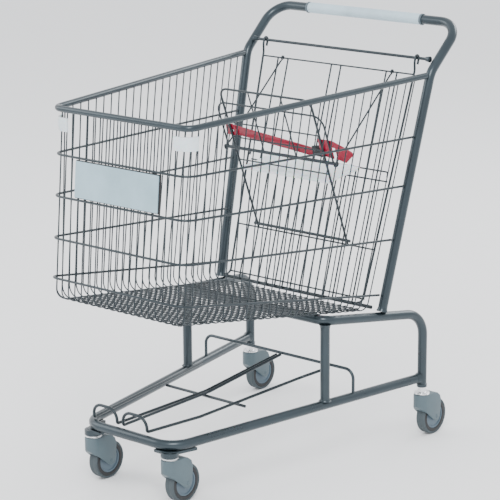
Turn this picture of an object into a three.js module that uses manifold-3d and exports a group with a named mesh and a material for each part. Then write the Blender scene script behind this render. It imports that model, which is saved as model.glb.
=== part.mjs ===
// Nesting shopping cart: tube chassis on four swivel casters, tapered wire basket,
// swing-up rear gate that carries a folding child seat, handle with a plastic grip.
//
// Frame: millimetres, +Z up, floor at Z = 0, nose towards -Y, handle towards +Y,
// the cart's left side towards +X, the middle plane at X = 0.

import * as THREE from 'three';
import { mergeVertices } from 'three/addons/utils/BufferGeometryUtils.js';
import Module from 'manifold-3d';

const wasm = await Module();
wasm.setup();

// ---------------------------------------------------------------------------
// Driving dimensions
// ---------------------------------------------------------------------------

// Clearances
const GAP = 0.3; // between parts that touch
const RUN = 0.4; // between parts that turn on one another

// Stock sizes
const TUBE_R = 12.5; // frame tube
const RIM_R = 8; // basket rim tube
const HOOP_R = 3; // hoops round the basket
const WIRE = 3; // thickness of a basket wire
const SEAM_R = 2.3; // thin rods that the basket wires are welded to

// Casters
const WHEEL_R = 50;
const TYRE_WIDTH = 30;
const TYRE_DEPTH = 7.6; // from tread to hub
const WHEEL_TRAIL = 44; // axle behind the swivel
const FORK_TOP = 121;
const RING_TOP = 127; // top of the bearing ring
const FORK_R = 24; // round front of the fork
const AXLE_R = 4;

// Chassis
const REAR_HALF = 304; // rear legs and rear casters
const REAR_Y = 369;
const LEG_FOOT_Z = 141;
const RAIL_REAR_Z = 345; // where the upper rails meet the legs
const RAIL_CORNER_OUT = 4.8; // the upper rails' front corners outside the lower tube
const RAIL_FRONT_Y = 25;
const RAIL_FRONT_Z = 390;
const LOWER_REAR_Z = 167;
const LOWER_FRONT_HALF = 147.5;
const LOWER_FRONT_Y = -449;
const LOWER_FRONT_Z = 156;
const FRONT_CASTER_HALF = 132;
const FRONT_CASTER_Y = -441;
const LEG_BEND = 65;
const RAIL_BEND = 36;
const LOWER_BEND = 62;

// Handle and its posts
const POST_FOOT_Y = 219;
const POST_BEND_HALF = 313;
const POST_BEND_Y = 375;
const POST_BEND_Z = 993;
const HANDLE_HALF = 316;
const HANDLE_Y = 500;
const HANDLE_Z = 1107;
const POST_BEND = 60;
const HANDLE_BEND = 60;
const GRIP_HALF = 190;
const SLEEVE_BORE = TUBE_R + GAP + 0.2;
const GRIP_R = SLEEVE_BORE + 1.6;

// Basket
const BASKET_FRONT_HALF = 224.7; // rim centre line at the nose
const BASKET_FRONT_Y = -455;
const RIM_FRONT_Z = 958;
const RIM_REAR_Z = 987;
const RIM_BEND = 26;
const WIRE_INSET = 5; // wires inside the rim's centre line
const NOSE_LEAN = 41; // how far the nose's foot is ahead of its top
const FLOOR_OVER_RAIL = 0.12; // the floor's rear edge above the tops of the rails
const FLOOR_SLOPE = 0.148; // fall per millimetre towards the rear
const FLOOR_REAR_Y = 200;
const FLOOR_REAR_HALF = 272;
const SIDE_WIRES = 25;
const SIDE_TOP_FIRST_Y = BASKET_FRONT_Y + 35;
const SIDE_TOP_LAST_Y = 322;
const SIDE_FOOT_FIRST_Y = BASKET_FRONT_Y + 3;
const SIDE_FOOT_LAST_Y = 172;
const FRONT_WIRES_EACH_SIDE = 8;
const FRONT_PITCH = 22.7;
const CORNER_R = 30; // upright corners of the basket
const CORNER_EASE = 1; // corner wires stand this far inside the hoops' bend
const FOOT_BEND = 30; // where the wires turn under the basket
const HOOP_FRONT_Z = [844.5, 740.6, 635, 535.2];
const HOOP_REAR_Z = [831, 705, 567, 424];

// Rear gate
const HINGE_Y = 390;
const HINGE_Z = 1024;
const HINGE_ROD_R = 4;
const GATE_LEAN = THREE.MathUtils.degToRad(16.8);
const GATE_EDGE_R = 3; // outer wires
const GATE_WIRE = 4; // thickness of the inner wires
const GATE_TOP = 44; // distances down the gate from the hinge
const SEAT_WIRE_UPPER = 306; // the seat plate turns on this one
const SEAT_WIRE_LOWER = 331;
const GATE_LOWER = 512;
const GATE_BOTTOM = 644;
const GATE_FOOT = 662;
const GATE_HALF_TOP = 258;
const GATE_HALF_FOOT = 231;
const FLOOR_ROD_R = 5;

// Child seat
const SEAT_ROD_Y = 142; // thick cross rod of the seat back
const SEAT_ROD_Z = 773;
const SEAT_ROD_R = 4.5;
const SEAT_ROD_HALF = 193;
const BACK_R = 3;
const BACK_HALF = 154;
const BACK_LENGTH = 436;
const BACK_FOOT_OFF = 8; // foot of the seat back ahead of the gate wires
const HOOP_BACK_R = 2.5;
const HOOP_BACK_HALF = 179;
const HOOP_BACK_TOP = 392;
const LINK_R = 2.3;
const LINK_X = 187;
const PLATE_HALF = 149.5;
const PLATE_LENGTH = 142;
const PLATE_THICK = 5;
const PLATE_CORNER = 4; // chamfer of its two front corners
const PLATE_LIFT = 1.5; // the sheet's middle above its hinge line
const BAR_THICK = 4;

// Undershelf
const ARCH_Y = 128;
const ARCH_TOP_Z = 236;
const RACK_ROD_R = 4;
const RACK_WIRE_R = 4;

// Sign and corner bumpers
const SIGN_HALF = 141;
const SIGN_THICK = 3;
const SIGN_TRAY_THICK = 6; // dark tray behind the board
const BUMPER_LOW_Z = 903;
const BUMPER_TALL = 34;
const BUMPER_THICK = 5;
const BUMPER_REACH = 42.7; // along the nose from the corner

// ---------------------------------------------------------------------------
// Materials
// ---------------------------------------------------------------------------

function material(color, roughness, metalness) {
  return new THREE.MeshStandardMaterial({ color, roughness, metalness });
}

const PAINT = material(0x4b5a64, 0.42, 0.55);
const PAINT_ROD = material(0x46545d, 0.45, 0.55);
const GRIP_GREY = material(0xc5d2d8, 0.5, 0.0);
const COLLAR_GREY = material(0x56636c, 0.5, 0.0);
const SIGN_GREY = material(0xabbdc5, 0.45, 0.0);
const BUMPER_WHITE = material(0xd3dee3, 0.45, 0.0);
const SEAT_WHITE = material(0xd9e1e6, 0.35, 0.0);
const SEAT_RED = material(0xbe1e37, 0.45, 0.0);
const LATCH_BLACK = material(0x17191c, 0.5, 0.0);
const ZINC = material(0xdfe6e8, 0.3, 0.9);
const FORK_GREY = material(0x6f8087, 0.5, 0.0);
const HUB_GREY = material(0x6a7a88, 0.55, 0.0);
const TYRE_GREY = material(0x3c464b, 0.8, 0.0);

// ---------------------------------------------------------------------------
// Shape helpers
// ---------------------------------------------------------------------------

const V = (x, y, z) => new THREE.Vector3(x, y, z);

// A path through fixed knots, so that a straight run is a single step.
class KnotPath extends THREE.Curve {
  constructor(knots) {
    super();
    this.knots = knots;
  }

  getPoint(t, target = new THREE.Vector3()) {
    const last = this.knots.length - 1;
    const place = Math.min(Math.max(t, 0), 1) * last;
    const i = Math.min(Math.floor(place + 1e-9), last - 1);
    return target.lerpVectors(this.knots[i], this.knots[i + 1], place - i);
  }

  getTangent(t, target = new THREE.Vector3()) {
    const last = this.knots.length - 1;
    const i = Math.round(t * last);
    const before = this.knots[Math.max(i - 1, 0)];
    const here = this.knots[i];
    const after = this.knots[Math.min(i + 1, last)];
    target.set(0, 0, 0);
    if (i > 0) {
      target.add(here.clone().sub(before).normalize());
    }
    if (i < last) {
      target.add(after.clone().sub(here).normalize());
    }
    return target.normalize();
  }

  getUtoTmapping(u) {
    return u;
  }
}

// Replaces each inner corner of a line of points by an arc of its own radius.
function rounded(points, radii, steps = 4) {
  const knots = [points[0].clone()];
  for (let i = 1; i < points.length - 1; i += 1) {
    const corner = points[i];
    const radius = Array.isArray(radii) ? radii[i - 1] : radii;
    const back = points[i - 1].clone().sub(corner).normalize();
    const ahead = points[i + 1].clone().sub(corner).normalize();
    const half = back.angleTo(ahead) / 2;
    const run = radius / Math.tan(half);
    const toCentre = back.clone().add(ahead).normalize();
    const centre = corner.clone().addScaledVector(toCentre, radius / Math.sin(half));
    const from = corner.clone().addScaledVector(back, run).sub(centre);
    const turn = Math.PI - 2 * half;
    const axis = back.clone().negate().cross(ahead).normalize();
    for (let k = 0; k <= steps; k += 1) {
      knots.push(centre.clone().add(from.clone().applyAxisAngle(axis, (turn * k) / steps)));
    }
  }
  knots.push(points[points.length - 1].clone());
  return knots;
}

function polygon(radius, sides) {
  const outline = [];
  for (let i = 0; i < sides; i += 1) {
    const angle = (2 * Math.PI * (i + 0.5)) / sides;
    outline.push(new THREE.Vector2(radius * Math.cos(angle), radius * Math.sin(angle)));
  }
  return new THREE.Shape(outline);
}

// A solid bar of round (many-sided) section along knots.
function bar(knots, radius, sides = 8) {
  const path = new KnotPath(knots);
  const options = { steps: knots.length - 1, extrudePath: path };
  return new THREE.ExtrudeGeometry(polygon(radius, sides), options);
}

// A welded wire: a square bar with a given distance across its flats.
function wire(knots, thickness = WIRE) {
  return bar(knots, thickness / Math.SQRT2, 4);
}

// A flat piece from a closed outline of [a, b] pairs, extruded from 0 to depth.
function flat(outline, depth, holes = []) {
  const shape = new THREE.Shape(outline.map(([a, b]) => new THREE.Vector2(a, b)));
  for (const hole of holes) {
    shape.holes.push(new THREE.Path(hole.map(([a, b]) => new THREE.Vector2(a, b))));
  }
  return new THREE.ExtrudeGeometry(shape, { depth, bevelEnabled: false });
}

function circle(a, b, radius, sides) {
  const points = [];
  for (let i = 0; i < sides; i += 1) {
    const angle = (2 * Math.PI * (i + 0.5)) / sides;
    points.push([a + radius * Math.cos(angle), b + radius * Math.sin(angle)]);
  }
  return points;
}

// A ring about X from a closed profile of [radius, x] pairs.
function ringAboutX(profile, segments) {
  const points = profile.map(([radius, x]) => new THREE.Vector2(radius, x));
  points.push(points[0].clone());
  const geometry = new THREE.LatheGeometry(points, segments);
  geometry.rotateZ(-Math.PI / 2);
  return geometry;
}

// Turns a closed geometry right side out after its profile has been mirrored.
function flip(geometry) {
  const index = geometry.getIndex();
  for (let i = 0; i < index.count; i += 3) {
    const b = index.getX(i + 1);
    index.setX(i + 1, index.getX(i + 2));
    index.setX(i + 2, b);
  }
}

function toSolid(geometry) {
  const plain = geometry.clone();
  plain.deleteAttribute('normal');
  plain.deleteAttribute('uv');
  const merged = mergeVertices(plain, 1e-4);
  const vertProperties = new Float32Array(merged.getAttribute('position').array);
  const triVerts = new Uint32Array(merged.getIndex().array);
  return new wasm.Manifold(new wasm.Mesh({ numProp: 3, vertProperties, triVerts }));
}

const FINEST = 0.03; // edges shorter than this are left out of a joined body

function fromSolid(solid) {
  const mesh = solid.asOriginal().simplify(FINEST).getMesh();
  const geometry = new THREE.BufferGeometry();
  const position = new Float32Array(mesh.vertProperties);
  geometry.setAttribute('position', new THREE.BufferAttribute(position, 3));
  geometry.setIndex(new THREE.BufferAttribute(new Uint32Array(mesh.triVerts), 1));
  return geometry;
}

// Joins pieces that are welded or moulded together into one body.
function join(pieces) {
  let solid = toSolid(pieces[0]);
  for (const piece of pieces.slice(1)) {
    solid = solid.add(toSolid(piece));
  }
  return fromSolid(solid);
}

function cut(piece, tools) {
  let solid = toSolid(piece);
  for (const tool of tools) {
    solid = solid.subtract(toSolid(tool));
  }
  return fromSolid(solid);
}

const cart = new THREE.Group();

function place(name, geometry, look) {
  geometry.computeVertexNormals();
  const mesh = new THREE.Mesh(geometry, look);
  mesh.name = name;
  cart.add(mesh);
  return mesh;
}

const SIDES = [
  ['l', 1],
  ['r', -1],
];

const between = (a, b, t) => a + (b - a) * t;

// ---------------------------------------------------------------------------
// Lines that several parts share
// ---------------------------------------------------------------------------

// Upper rail's centre line at a place along the cart.
function railAt(y) {
  const t = (y - RAIL_FRONT_Y) / (REAR_Y - RAIL_FRONT_Y);
  return {
    x: between(RAIL_FRONT_HALF, REAR_HALF, t),
    z: between(RAIL_FRONT_Z, RAIL_REAR_Z, t),
  };
}

// Lower rail's centre line at a place along the cart.
function lowerAt(y) {
  const t = (y - LOWER_FRONT_Y) / (REAR_Y - LOWER_FRONT_Y);
  return {
    x: between(LOWER_FRONT_HALF, REAR_HALF, t),
    z: between(LOWER_FRONT_Z, LOWER_REAR_Z, t),
  };
}

const RAIL_FRONT_HALF = lowerAt(RAIL_FRONT_Y).x + RAIL_CORNER_OUT;

const POST_FOOT = V(railAt(POST_FOOT_Y).x + 4, POST_FOOT_Y, railAt(POST_FOOT_Y).z + TUBE_R + 5.2);

// Handle post's centre line at a height.
function postAt(z) {
  const t = (z - POST_FOOT.z) / (POST_BEND_Z - POST_FOOT.z);
  return {
    x: between(POST_FOOT.x, POST_BEND_HALF, t),
    y: between(POST_FOOT.y, POST_BEND_Y, t),
  };
}

const POST_LEAN = Math.atan2(POST_BEND_Y - POST_FOOT.y, POST_BEND_Z - POST_FOOT.z);
const POST_HALF_DEPTH = TUBE_R / Math.cos(POST_LEAN); // level distance from its axis to its face

const floorRearZ = railAt(FLOOR_REAR_Y).z + TUBE_R + FLOOR_OVER_RAIL;
const floorZ = (y) => floorRearZ - FLOOR_SLOPE * (y - FLOOR_REAR_Y);

// Rim centre line along the side.
const RIM_END_Y = postAt(RIM_REAR_Z).y - POST_HALF_DEPTH - GAP - RIM_R * Math.sin(POST_LEAN) - 1;
const RIM_END_X = postAt(RIM_REAR_Z).x - 1;

function rimAt(y) {
  const t = (y - BASKET_FRONT_Y) / (RIM_END_Y - BASKET_FRONT_Y);
  return {
    x: between(BASKET_FRONT_HALF, RIM_END_X, t),
    z: between(RIM_FRONT_Z, RIM_REAR_Z, t),
  };
}

// Seam rods just under the rim carry the wires' top ends.
const SEAM_DROP = RIM_R + SEAM_R + GAP;

// Half width of the wires' foot line at a place along the cart.
function footHalf(y) {
  const t = (y - SIDE_FOOT_FIRST_Y) / (FLOOR_REAR_Y - SIDE_FOOT_FIRST_Y);
  return between(BASKET_FRONT_HALF - WIRE_INSET, FLOOR_REAR_HALF - WIRE_INSET, t);
}

const FOOT_RUN = FOOT_BEND + 4; // how far a wire runs under the basket

// ---------------------------------------------------------------------------
// Chassis
// ---------------------------------------------------------------------------

const upperPath = rounded(
  [
    V(-REAR_HALF, REAR_Y, LEG_FOOT_Z),
    V(-REAR_HALF, REAR_Y, RAIL_REAR_Z),
    V(-RAIL_FRONT_HALF, RAIL_FRONT_Y, RAIL_FRONT_Z),
    V(RAIL_FRONT_HALF, RAIL_FRONT_Y, RAIL_FRONT_Z),
    V(REAR_HALF, REAR_Y, RAIL_REAR_Z),
    V(REAR_HALF, REAR_Y, LEG_FOOT_Z),
  ],
  [LEG_BEND, RAIL_BEND, RAIL_BEND, LEG_BEND],
);
place('upper_chassis', bar(upperPath, TUBE_R, 12), PAINT);

const LOWER_END_Y = REAR_Y - TUBE_R - GAP - 0.4;
const lowerPath = rounded(
  [
    V(-lowerAt(LOWER_END_Y).x, LOWER_END_Y, lowerAt(LOWER_END_Y).z),
    V(-LOWER_FRONT_HALF, LOWER_FRONT_Y, LOWER_FRONT_Z),
    V(LOWER_FRONT_HALF, LOWER_FRONT_Y, LOWER_FRONT_Z),
    V(lowerAt(LOWER_END_Y).x, LOWER_END_Y, lowerAt(LOWER_END_Y).z),
  ],
  LOWER_BEND,
);
const lowerEnds = SIDES.map(([, side]) => {
  const leg = [V(side * REAR_HALF, REAR_Y, LEG_FOOT_Z - 10), V(side * REAR_HALF, REAR_Y, 220)];
  return bar(leg, TUBE_R + GAP, 12);
});
place('lower_chassis', cut(bar(lowerPath, TUBE_R, 12), lowerEnds), PAINT);

const FRONT_POST_Y = RAIL_FRONT_Y + 8;
const frontPostX = lowerAt(FRONT_POST_Y).x;
for (const [tag, side] of SIDES) {
  const foot = lowerAt(FRONT_POST_Y).z + TUBE_R + GAP + 0.3;
  const head = railAt(FRONT_POST_Y).z - TUBE_R - GAP - 1.8;
  const knots = [V(side * frontPostX, FRONT_POST_Y, foot), V(side * frontPostX, FRONT_POST_Y, head)];
  place(`front_post_${tag}`, bar(knots, TUBE_R, 12), PAINT);
}

// Caster sockets under the front corners: a gusset plate with a boss.
const SOCKET_TOP = LOWER_FRONT_Z - TUBE_R - GAP;
for (const [tag, side] of SIDES) {
  const cx = FRONT_CASTER_HALF;
  const cy = FRONT_CASTER_Y;
  const outline = [
    [cx - 38, LOWER_FRONT_Y - 9],
    [cx - 6, LOWER_FRONT_Y - 9],
    [cx + 10, cy - 12],
    [cx + 19, cy + 2],
    [lowerAt(cy + 62).x + 7, cy + 62],
    [lowerAt(cy + 62).x - 10, cy + 64],
    [cx - 16, cy + 26],
    [cx - 30, cy + 10],
    [cx - 38, LOWER_FRONT_Y + 8],
  ];
  const plate = flat(side > 0 ? outline : outline.map(([a, b]) => [-a, b]).reverse(), 8);
  plate.translate(0, 0, SOCKET_TOP - 8);
  const boss = flat(circle(side * cx, cy, 23, 16), SOCKET_TOP - 2 - RING_TOP - GAP);
  boss.translate(0, 0, RING_TOP + GAP);
  place(`front_socket_${tag}`, join([plate, boss]), PAINT);
}

// ---------------------------------------------------------------------------
// Handle frame and grip
// ---------------------------------------------------------------------------

const handlePath = rounded(
  [
    V(-POST_FOOT.x, POST_FOOT.y, POST_FOOT.z),
    V(-POST_BEND_HALF, POST_BEND_Y, POST_BEND_Z),
    V(-HANDLE_HALF, HANDLE_Y, HANDLE_Z),
    V(HANDLE_HALF, HANDLE_Y, HANDLE_Z),
    V(POST_BEND_HALF, POST_BEND_Y, POST_BEND_Z),
    V(POST_FOOT.x, POST_FOOT.y, POST_FOOT.z),
  ],
  [POST_BEND, HANDLE_BEND, HANDLE_BEND, POST_BEND],
);
place('handle_frame', bar(handlePath, TUBE_R, 12), PAINT);

function sleeve(innerR, outerR, x0, x1, sides) {
  const ring = ringAboutX([[innerR, x0], [outerR, x0], [outerR, x1], [innerR, x1]], sides);
  ring.translate(0, HANDLE_Y, HANDLE_Z);
  return ring;
}

place('grip', sleeve(SLEEVE_BORE, GRIP_R, -GRIP_HALF, GRIP_HALF, 16), GRIP_GREY);
for (const [tag, side] of SIDES) {
  const start = GRIP_HALF + GAP;
  const ends = side > 0 ? [start, start + 6] : [-start - 6, -start];
  place(`grip_collar_${tag}`, sleeve(SLEEVE_BORE, GRIP_R + 0.8, ends[0], ends[1], 16), COLLAR_GREY);
}

// ---------------------------------------------------------------------------
// Basket
// ---------------------------------------------------------------------------

const rimPath = rounded(
  [
    V(-RIM_END_X, RIM_END_Y, RIM_REAR_Z),
    V(-BASKET_FRONT_HALF, BASKET_FRONT_Y, RIM_FRONT_Z),
    V(BASKET_FRONT_HALF, BASKET_FRONT_Y, RIM_FRONT_Z),
    V(RIM_END_X, RIM_END_Y, RIM_REAR_Z),
  ],
  RIM_BEND,
  4,
);
place('basket_rim', bar(rimPath, RIM_R, 10), PAINT);

// Side walls: upright wires that fan out towards the rear and turn under the basket.
function sideTop(y) {
  return V(rimAt(y).x - WIRE_INSET, y, rimAt(y).z - SEAM_DROP);
}

function sideFoot(y) {
  return V(footHalf(y), y, floorZ(y));
}

const FLOOR_UNDER = WIRE + GAP; // the floor's lower layer hangs under the side wires
for (const [tag, side] of SIDES) {
  const mirror = (p) => V(side * p.x, p.y, p.z);
  const pieces = [];
  const topA = sideTop(SIDE_TOP_FIRST_Y - 4);
  const topB = sideTop(SIDE_TOP_LAST_Y + 4);
  pieces.push(bar([mirror(topA), mirror(topB)], SEAM_R, 6));
  const inA = sideFoot(SIDE_FOOT_FIRST_Y - 1).add(V(-FOOT_RUN, 0, 0));
  const inB = sideFoot(SIDE_FOOT_LAST_Y + 4).add(V(-FOOT_RUN, 0, 0));
  pieces.push(bar([mirror(inA), mirror(inB)], SEAM_R, 6));
  for (let i = 0; i < SIDE_WIRES; i += 1) {
    const t = i / (SIDE_WIRES - 1);
    const top = sideTop(between(SIDE_TOP_FIRST_Y, SIDE_TOP_LAST_Y, t));
    const foot = sideFoot(between(SIDE_FOOT_FIRST_Y, SIDE_FOOT_LAST_Y, t));
    const inner = foot.clone().add(V(-FOOT_RUN, 0, 0));
    pieces.push(wire(rounded([mirror(top), mirror(foot), mirror(inner)], FOOT_BEND, 2)));
  }
  place(`side_wires_${tag}`, join(pieces), PAINT_ROD);
}

// Nose: wires across the front and round both upright corners.
const NOSE_TOP_Y = BASKET_FRONT_Y + WIRE_INSET;
const NOSE_FOOT_Y = NOSE_TOP_Y - NOSE_LEAN;
const NOSE_HALF = BASKET_FRONT_HALF - WIRE_INSET;

// Places of the nose wires in plan: x, how far back from the nose plane, and facing.
function nosePlaces() {
  const places = [];
  for (let i = -FRONT_WIRES_EACH_SIDE; i <= FRONT_WIRES_EACH_SIDE; i += 1) {
    places.push({ x: i * FRONT_PITCH, back: 0, angle: 0 });
  }
  for (const degrees of [30, 62]) {
    const angle = THREE.MathUtils.degToRad(degrees);
    for (const [, side] of SIDES) {
      const x = side * (NOSE_HALF - CORNER_R + CORNER_R * Math.sin(angle));
      places.push({ x, back: CORNER_R * (1 - Math.cos(angle)), angle: side * angle });
    }
  }
  return places;
}

const noseFootZ = floorZ(NOSE_FOOT_Y);
const noseSeamZ = RIM_FRONT_Z - SEAM_DROP;
const nosePieces = [];
const noseSeam = [
  V(-NOSE_HALF + 1, NOSE_TOP_Y + 22, noseSeamZ),
  V(-NOSE_HALF + 1, NOSE_TOP_Y, noseSeamZ),
  V(NOSE_HALF - 1, NOSE_TOP_Y, noseSeamZ),
  V(NOSE_HALF - 1, NOSE_TOP_Y + 22, noseSeamZ),
];
nosePieces.push(bar(rounded(noseSeam, 20, 4), SEAM_R, 6));
const noseInner = NOSE_FOOT_Y + FOOT_RUN;
const noseInnerHalf = NOSE_HALF - CORNER_R - 2;
nosePieces.push(
  bar([V(-noseInnerHalf, noseInner, floorZ(noseInner)), V(noseInnerHalf, noseInner, floorZ(noseInner))], SEAM_R, 6),
);
for (const { x, back, angle } of nosePlaces()) {
  const top = V(x, NOSE_TOP_Y + back, noseSeamZ);
  const foot = V(x, NOSE_FOOT_Y + back, noseFootZ);
  const run = FOOT_RUN - (angle === 0 ? 0 : CORNER_EASE);
  const inner = V(x - run * Math.sin(angle), foot.y + run * Math.cos(angle), noseFootZ);
  inner.z = floorZ(inner.y);
  nosePieces.push(wire(rounded([top, foot, inner], FOOT_BEND - 4, 2)));
}
place('nose_wires', join(nosePieces), PAINT_ROD);

// Floor: cross wires level with the turned-under feet, long wires on top of them.
const FLOOR_CROSS_WIRES = 15;
const FLOOR_LONG_WIRES = 15;
const FLOOR_END_Y = 184;
const floorEdge = (y) => footHalf(y) - FOOT_RUN - 2 * SEAM_R - 2 * GAP;
const LONG_START_Y = noseInner + 2 * SEAM_R + 2 * GAP;
const CROSS_START_Y = LONG_START_Y + 14;
const CROSS_END_Y = FLOOR_END_Y - 14;

const crossPieces = [];
for (const [, side] of SIDES) {
  const a = CROSS_START_Y - 4;
  const b = CROSS_END_Y + 4;
  const knots = [V(side * floorEdge(a), a, floorZ(a)), V(side * floorEdge(b), b, floorZ(b))];
  crossPieces.push(bar(knots, SEAM_R, 6));
}
for (let i = 0; i < FLOOR_CROSS_WIRES; i += 1) {
  const y = between(CROSS_START_Y, CROSS_END_Y, i / (FLOOR_CROSS_WIRES - 1));
  crossPieces.push(wire([V(-floorEdge(y), y, floorZ(y)), V(floorEdge(y), y, floorZ(y))]));
}
place('floor_cross_wires', join(crossPieces), PAINT_ROD);

const LONG_LIFT = WIRE + GAP;
const longEdge = (y) => floorEdge(y) - SEAM_R - WIRE / 2 - 2;
const longPieces = [];
for (const y of [LONG_START_Y, FLOOR_END_Y]) {
  const z = floorZ(y) + LONG_LIFT;
  longPieces.push(bar([V(-longEdge(y) - 3, y, z), V(longEdge(y) + 3, y, z)], SEAM_R, 8));
}
for (let i = 0; i < FLOOR_LONG_WIRES; i += 1) {
  const share = (2 * i) / (FLOOR_LONG_WIRES - 1) - 1;
  const ends = [LONG_START_Y - 0.5, FLOOR_END_Y + 0.5];
  longPieces.push(wire(ends.map((y) => V(share * longEdge(y), y, floorZ(y) + LONG_LIFT))));
}
place('floor_long_wires', join(longPieces), PAINT_ROD);

// Hoops outside the wires.
const noseY = (z) => NOSE_TOP_Y - (NOSE_LEAN * (noseSeamZ - z)) / (noseSeamZ - noseFootZ);

// Half width of the side wires' surface at a place and height.
function sideHalf(y, z) {
  let low = -0.4;
  let high = 1.6;
  let half = 0;
  for (let pass = 0; pass < 40; pass += 1) {
    const t = (low + high) / 2;
    const top = sideTop(between(SIDE_TOP_FIRST_Y, SIDE_TOP_LAST_Y, t));
    const foot = sideFoot(between(SIDE_FOOT_FIRST_Y, SIDE_FOOT_LAST_Y, t));
    const drop = (top.z - z) / (top.z - foot.z);
    half = between(top.x, foot.x, drop);
    if (between(top.y, foot.y, drop) < y) {
      low = t;
    } else {
      high = t;
    }
  }
  return half;
}

const HOOP_OUT = WIRE / 2 + GAP + HOOP_R + 0.3;
HOOP_FRONT_Z.forEach((frontZ, i) => {
  const rearZ = HOOP_REAR_Z[i];
  const frontY = noseY(frontZ) - HOOP_OUT;
  const rearY = postAt(rearZ).y - POST_HALF_DEPTH - HOOP_R - GAP;
  const frontHalf = Math.max(sideHalf(frontY, frontZ), NOSE_HALF) + HOOP_OUT;
  const rearHalf = sideHalf(rearY, rearZ) + HOOP_OUT;
  const points = [
    V(-rearHalf, rearY, rearZ),
    V(-frontHalf, frontY, frontZ),
    V(frontHalf, frontY, frontZ),
    V(rearHalf, rearY, rearZ),
  ];
  place(`hoop_${i + 1}`, bar(rounded(points, CORNER_R + HOOP_OUT, 5), HOOP_R, 6), PAINT_ROD);
});

// Sign board between the two upper hoops of the nose.
const signTopZ = HOOP_FRONT_Z[0] - HOOP_R - 2;
const signLowZ = HOOP_FRONT_Z[1] + HOOP_R + 2;
const signLean = Math.atan2(NOSE_LEAN, noseSeamZ - noseFootZ);
const signHeight = (signTopZ - signLowZ) / Math.cos(signLean);
const signMidZ = (signTopZ + signLowZ) / 2;

// A board lying along the nose, with its back a given distance ahead of the wires.
function noseBoard(halfWidth, thick, height, ahead) {
  const board = new THREE.BoxGeometry(2 * halfWidth, thick, height);
  board.translate(0, -ahead - thick / 2, 0);
  board.rotateX(-signLean);
  board.translate(0, noseY(signMidZ) - WIRE / 2, signMidZ);
  return board;
}

place('sign_tray', noseBoard(SIGN_HALF, SIGN_TRAY_THICK, signHeight, GAP + 0.2), LATCH_BLACK);
const boardAhead = 2 * GAP + 0.2 + SIGN_TRAY_THICK;
place('sign_board', noseBoard(SIGN_HALF - 2, SIGN_THICK, signHeight - 4, boardAhead), SIGN_GREY);

// Corner bumpers just under the rim.
for (const [tag, side] of SIDES) {
  const face = noseY(BUMPER_LOW_Z) - WIRE / 2 - GAP;
  const half = NOSE_HALF + WIRE / 2 + 1.4;
  const startX = NOSE_HALF - BUMPER_REACH;
  const endY = BASKET_FRONT_Y + 30;
  const skin = (out) => {
    const corner = [V(startX, face - out, 0), V(half + out, face - out, 0), V(half + out, endY, 0)];
    return rounded(corner, CORNER_R + out, 6);
  };
  const outer = skin(BUMPER_THICK);
  const inner = skin(0);
  const outline = [...outer, ...inner.reverse()].map((p) => [side * p.x, p.y]);
  const bumper = flat(side > 0 ? outline : outline.reverse(), BUMPER_TALL);
  bumper.translate(0, 0, BUMPER_LOW_Z);
  place(`corner_bumper_${tag}`, bumper, BUMPER_WHITE);
}

// Rod across the rear of the floor; the gate's feet rest against it.
const gateDown = V(0, -Math.sin(GATE_LEAN), -Math.cos(GATE_LEAN));
const gateAhead = V(0, -Math.cos(GATE_LEAN), Math.sin(GATE_LEAN));
const gateAt = (x, down, ahead = 0) => V(x, HINGE_Y, HINGE_Z)
  .addScaledVector(gateDown, down)
  .addScaledVector(gateAhead, ahead);

const floorRodAt = gateAt(0, GATE_FOOT - 1, -(GATE_WIRE / 2 + FLOOR_ROD_R + RUN));
const FLOOR_ROD_HALF = 256;
place(
  'floor_rear_rod',
  bar([V(-FLOOR_ROD_HALF, floorRodAt.y, floorRodAt.z), V(FLOOR_ROD_HALF, floorRodAt.y, floorRodAt.z)], FLOOR_ROD_R, 8),
  PAINT_ROD,
);

// ---------------------------------------------------------------------------
// Rear gate
// ---------------------------------------------------------------------------

const BOSS_END = POST_BEND_HALF - TUBE_R - 0.1; // the bosses meet the posts here
const HINGE_ROD_HALF = BOSS_END + 0.6;
place('gate_hinge_rod', bar([V(-HINGE_ROD_HALF, HINGE_Y, HINGE_Z), V(HINGE_ROD_HALF, HINGE_Y, HINGE_Z)], HINGE_ROD_R, 10), PAINT_ROD);
for (const [tag, side] of SIDES) {
  const profile = [
    [HINGE_ROD_R + GAP, BOSS_END - 14.4],
    [6, BOSS_END - 14.4],
    [8, BOSS_END - 4.4],
    [8, BOSS_END],
    [HINGE_ROD_R + GAP, BOSS_END],
  ];
  const boss = ringAboutX(profile.map(([r, x]) => [r, side > 0 ? x : -x]), 10);
  if (side < 0) {
    flip(boss);
  }
  boss.rotateX(Math.PI / 10);
  boss.translate(0, HINGE_Y, HINGE_Z);
  place(`hinge_boss_${tag}`, boss, PAINT);
}

const gateHalf = (down) => {
  const t = (down - GATE_TOP) / (GATE_BOTTOM - GATE_TOP);
  return between(GATE_HALF_TOP, GATE_HALF_FOOT, t);
};

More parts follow.
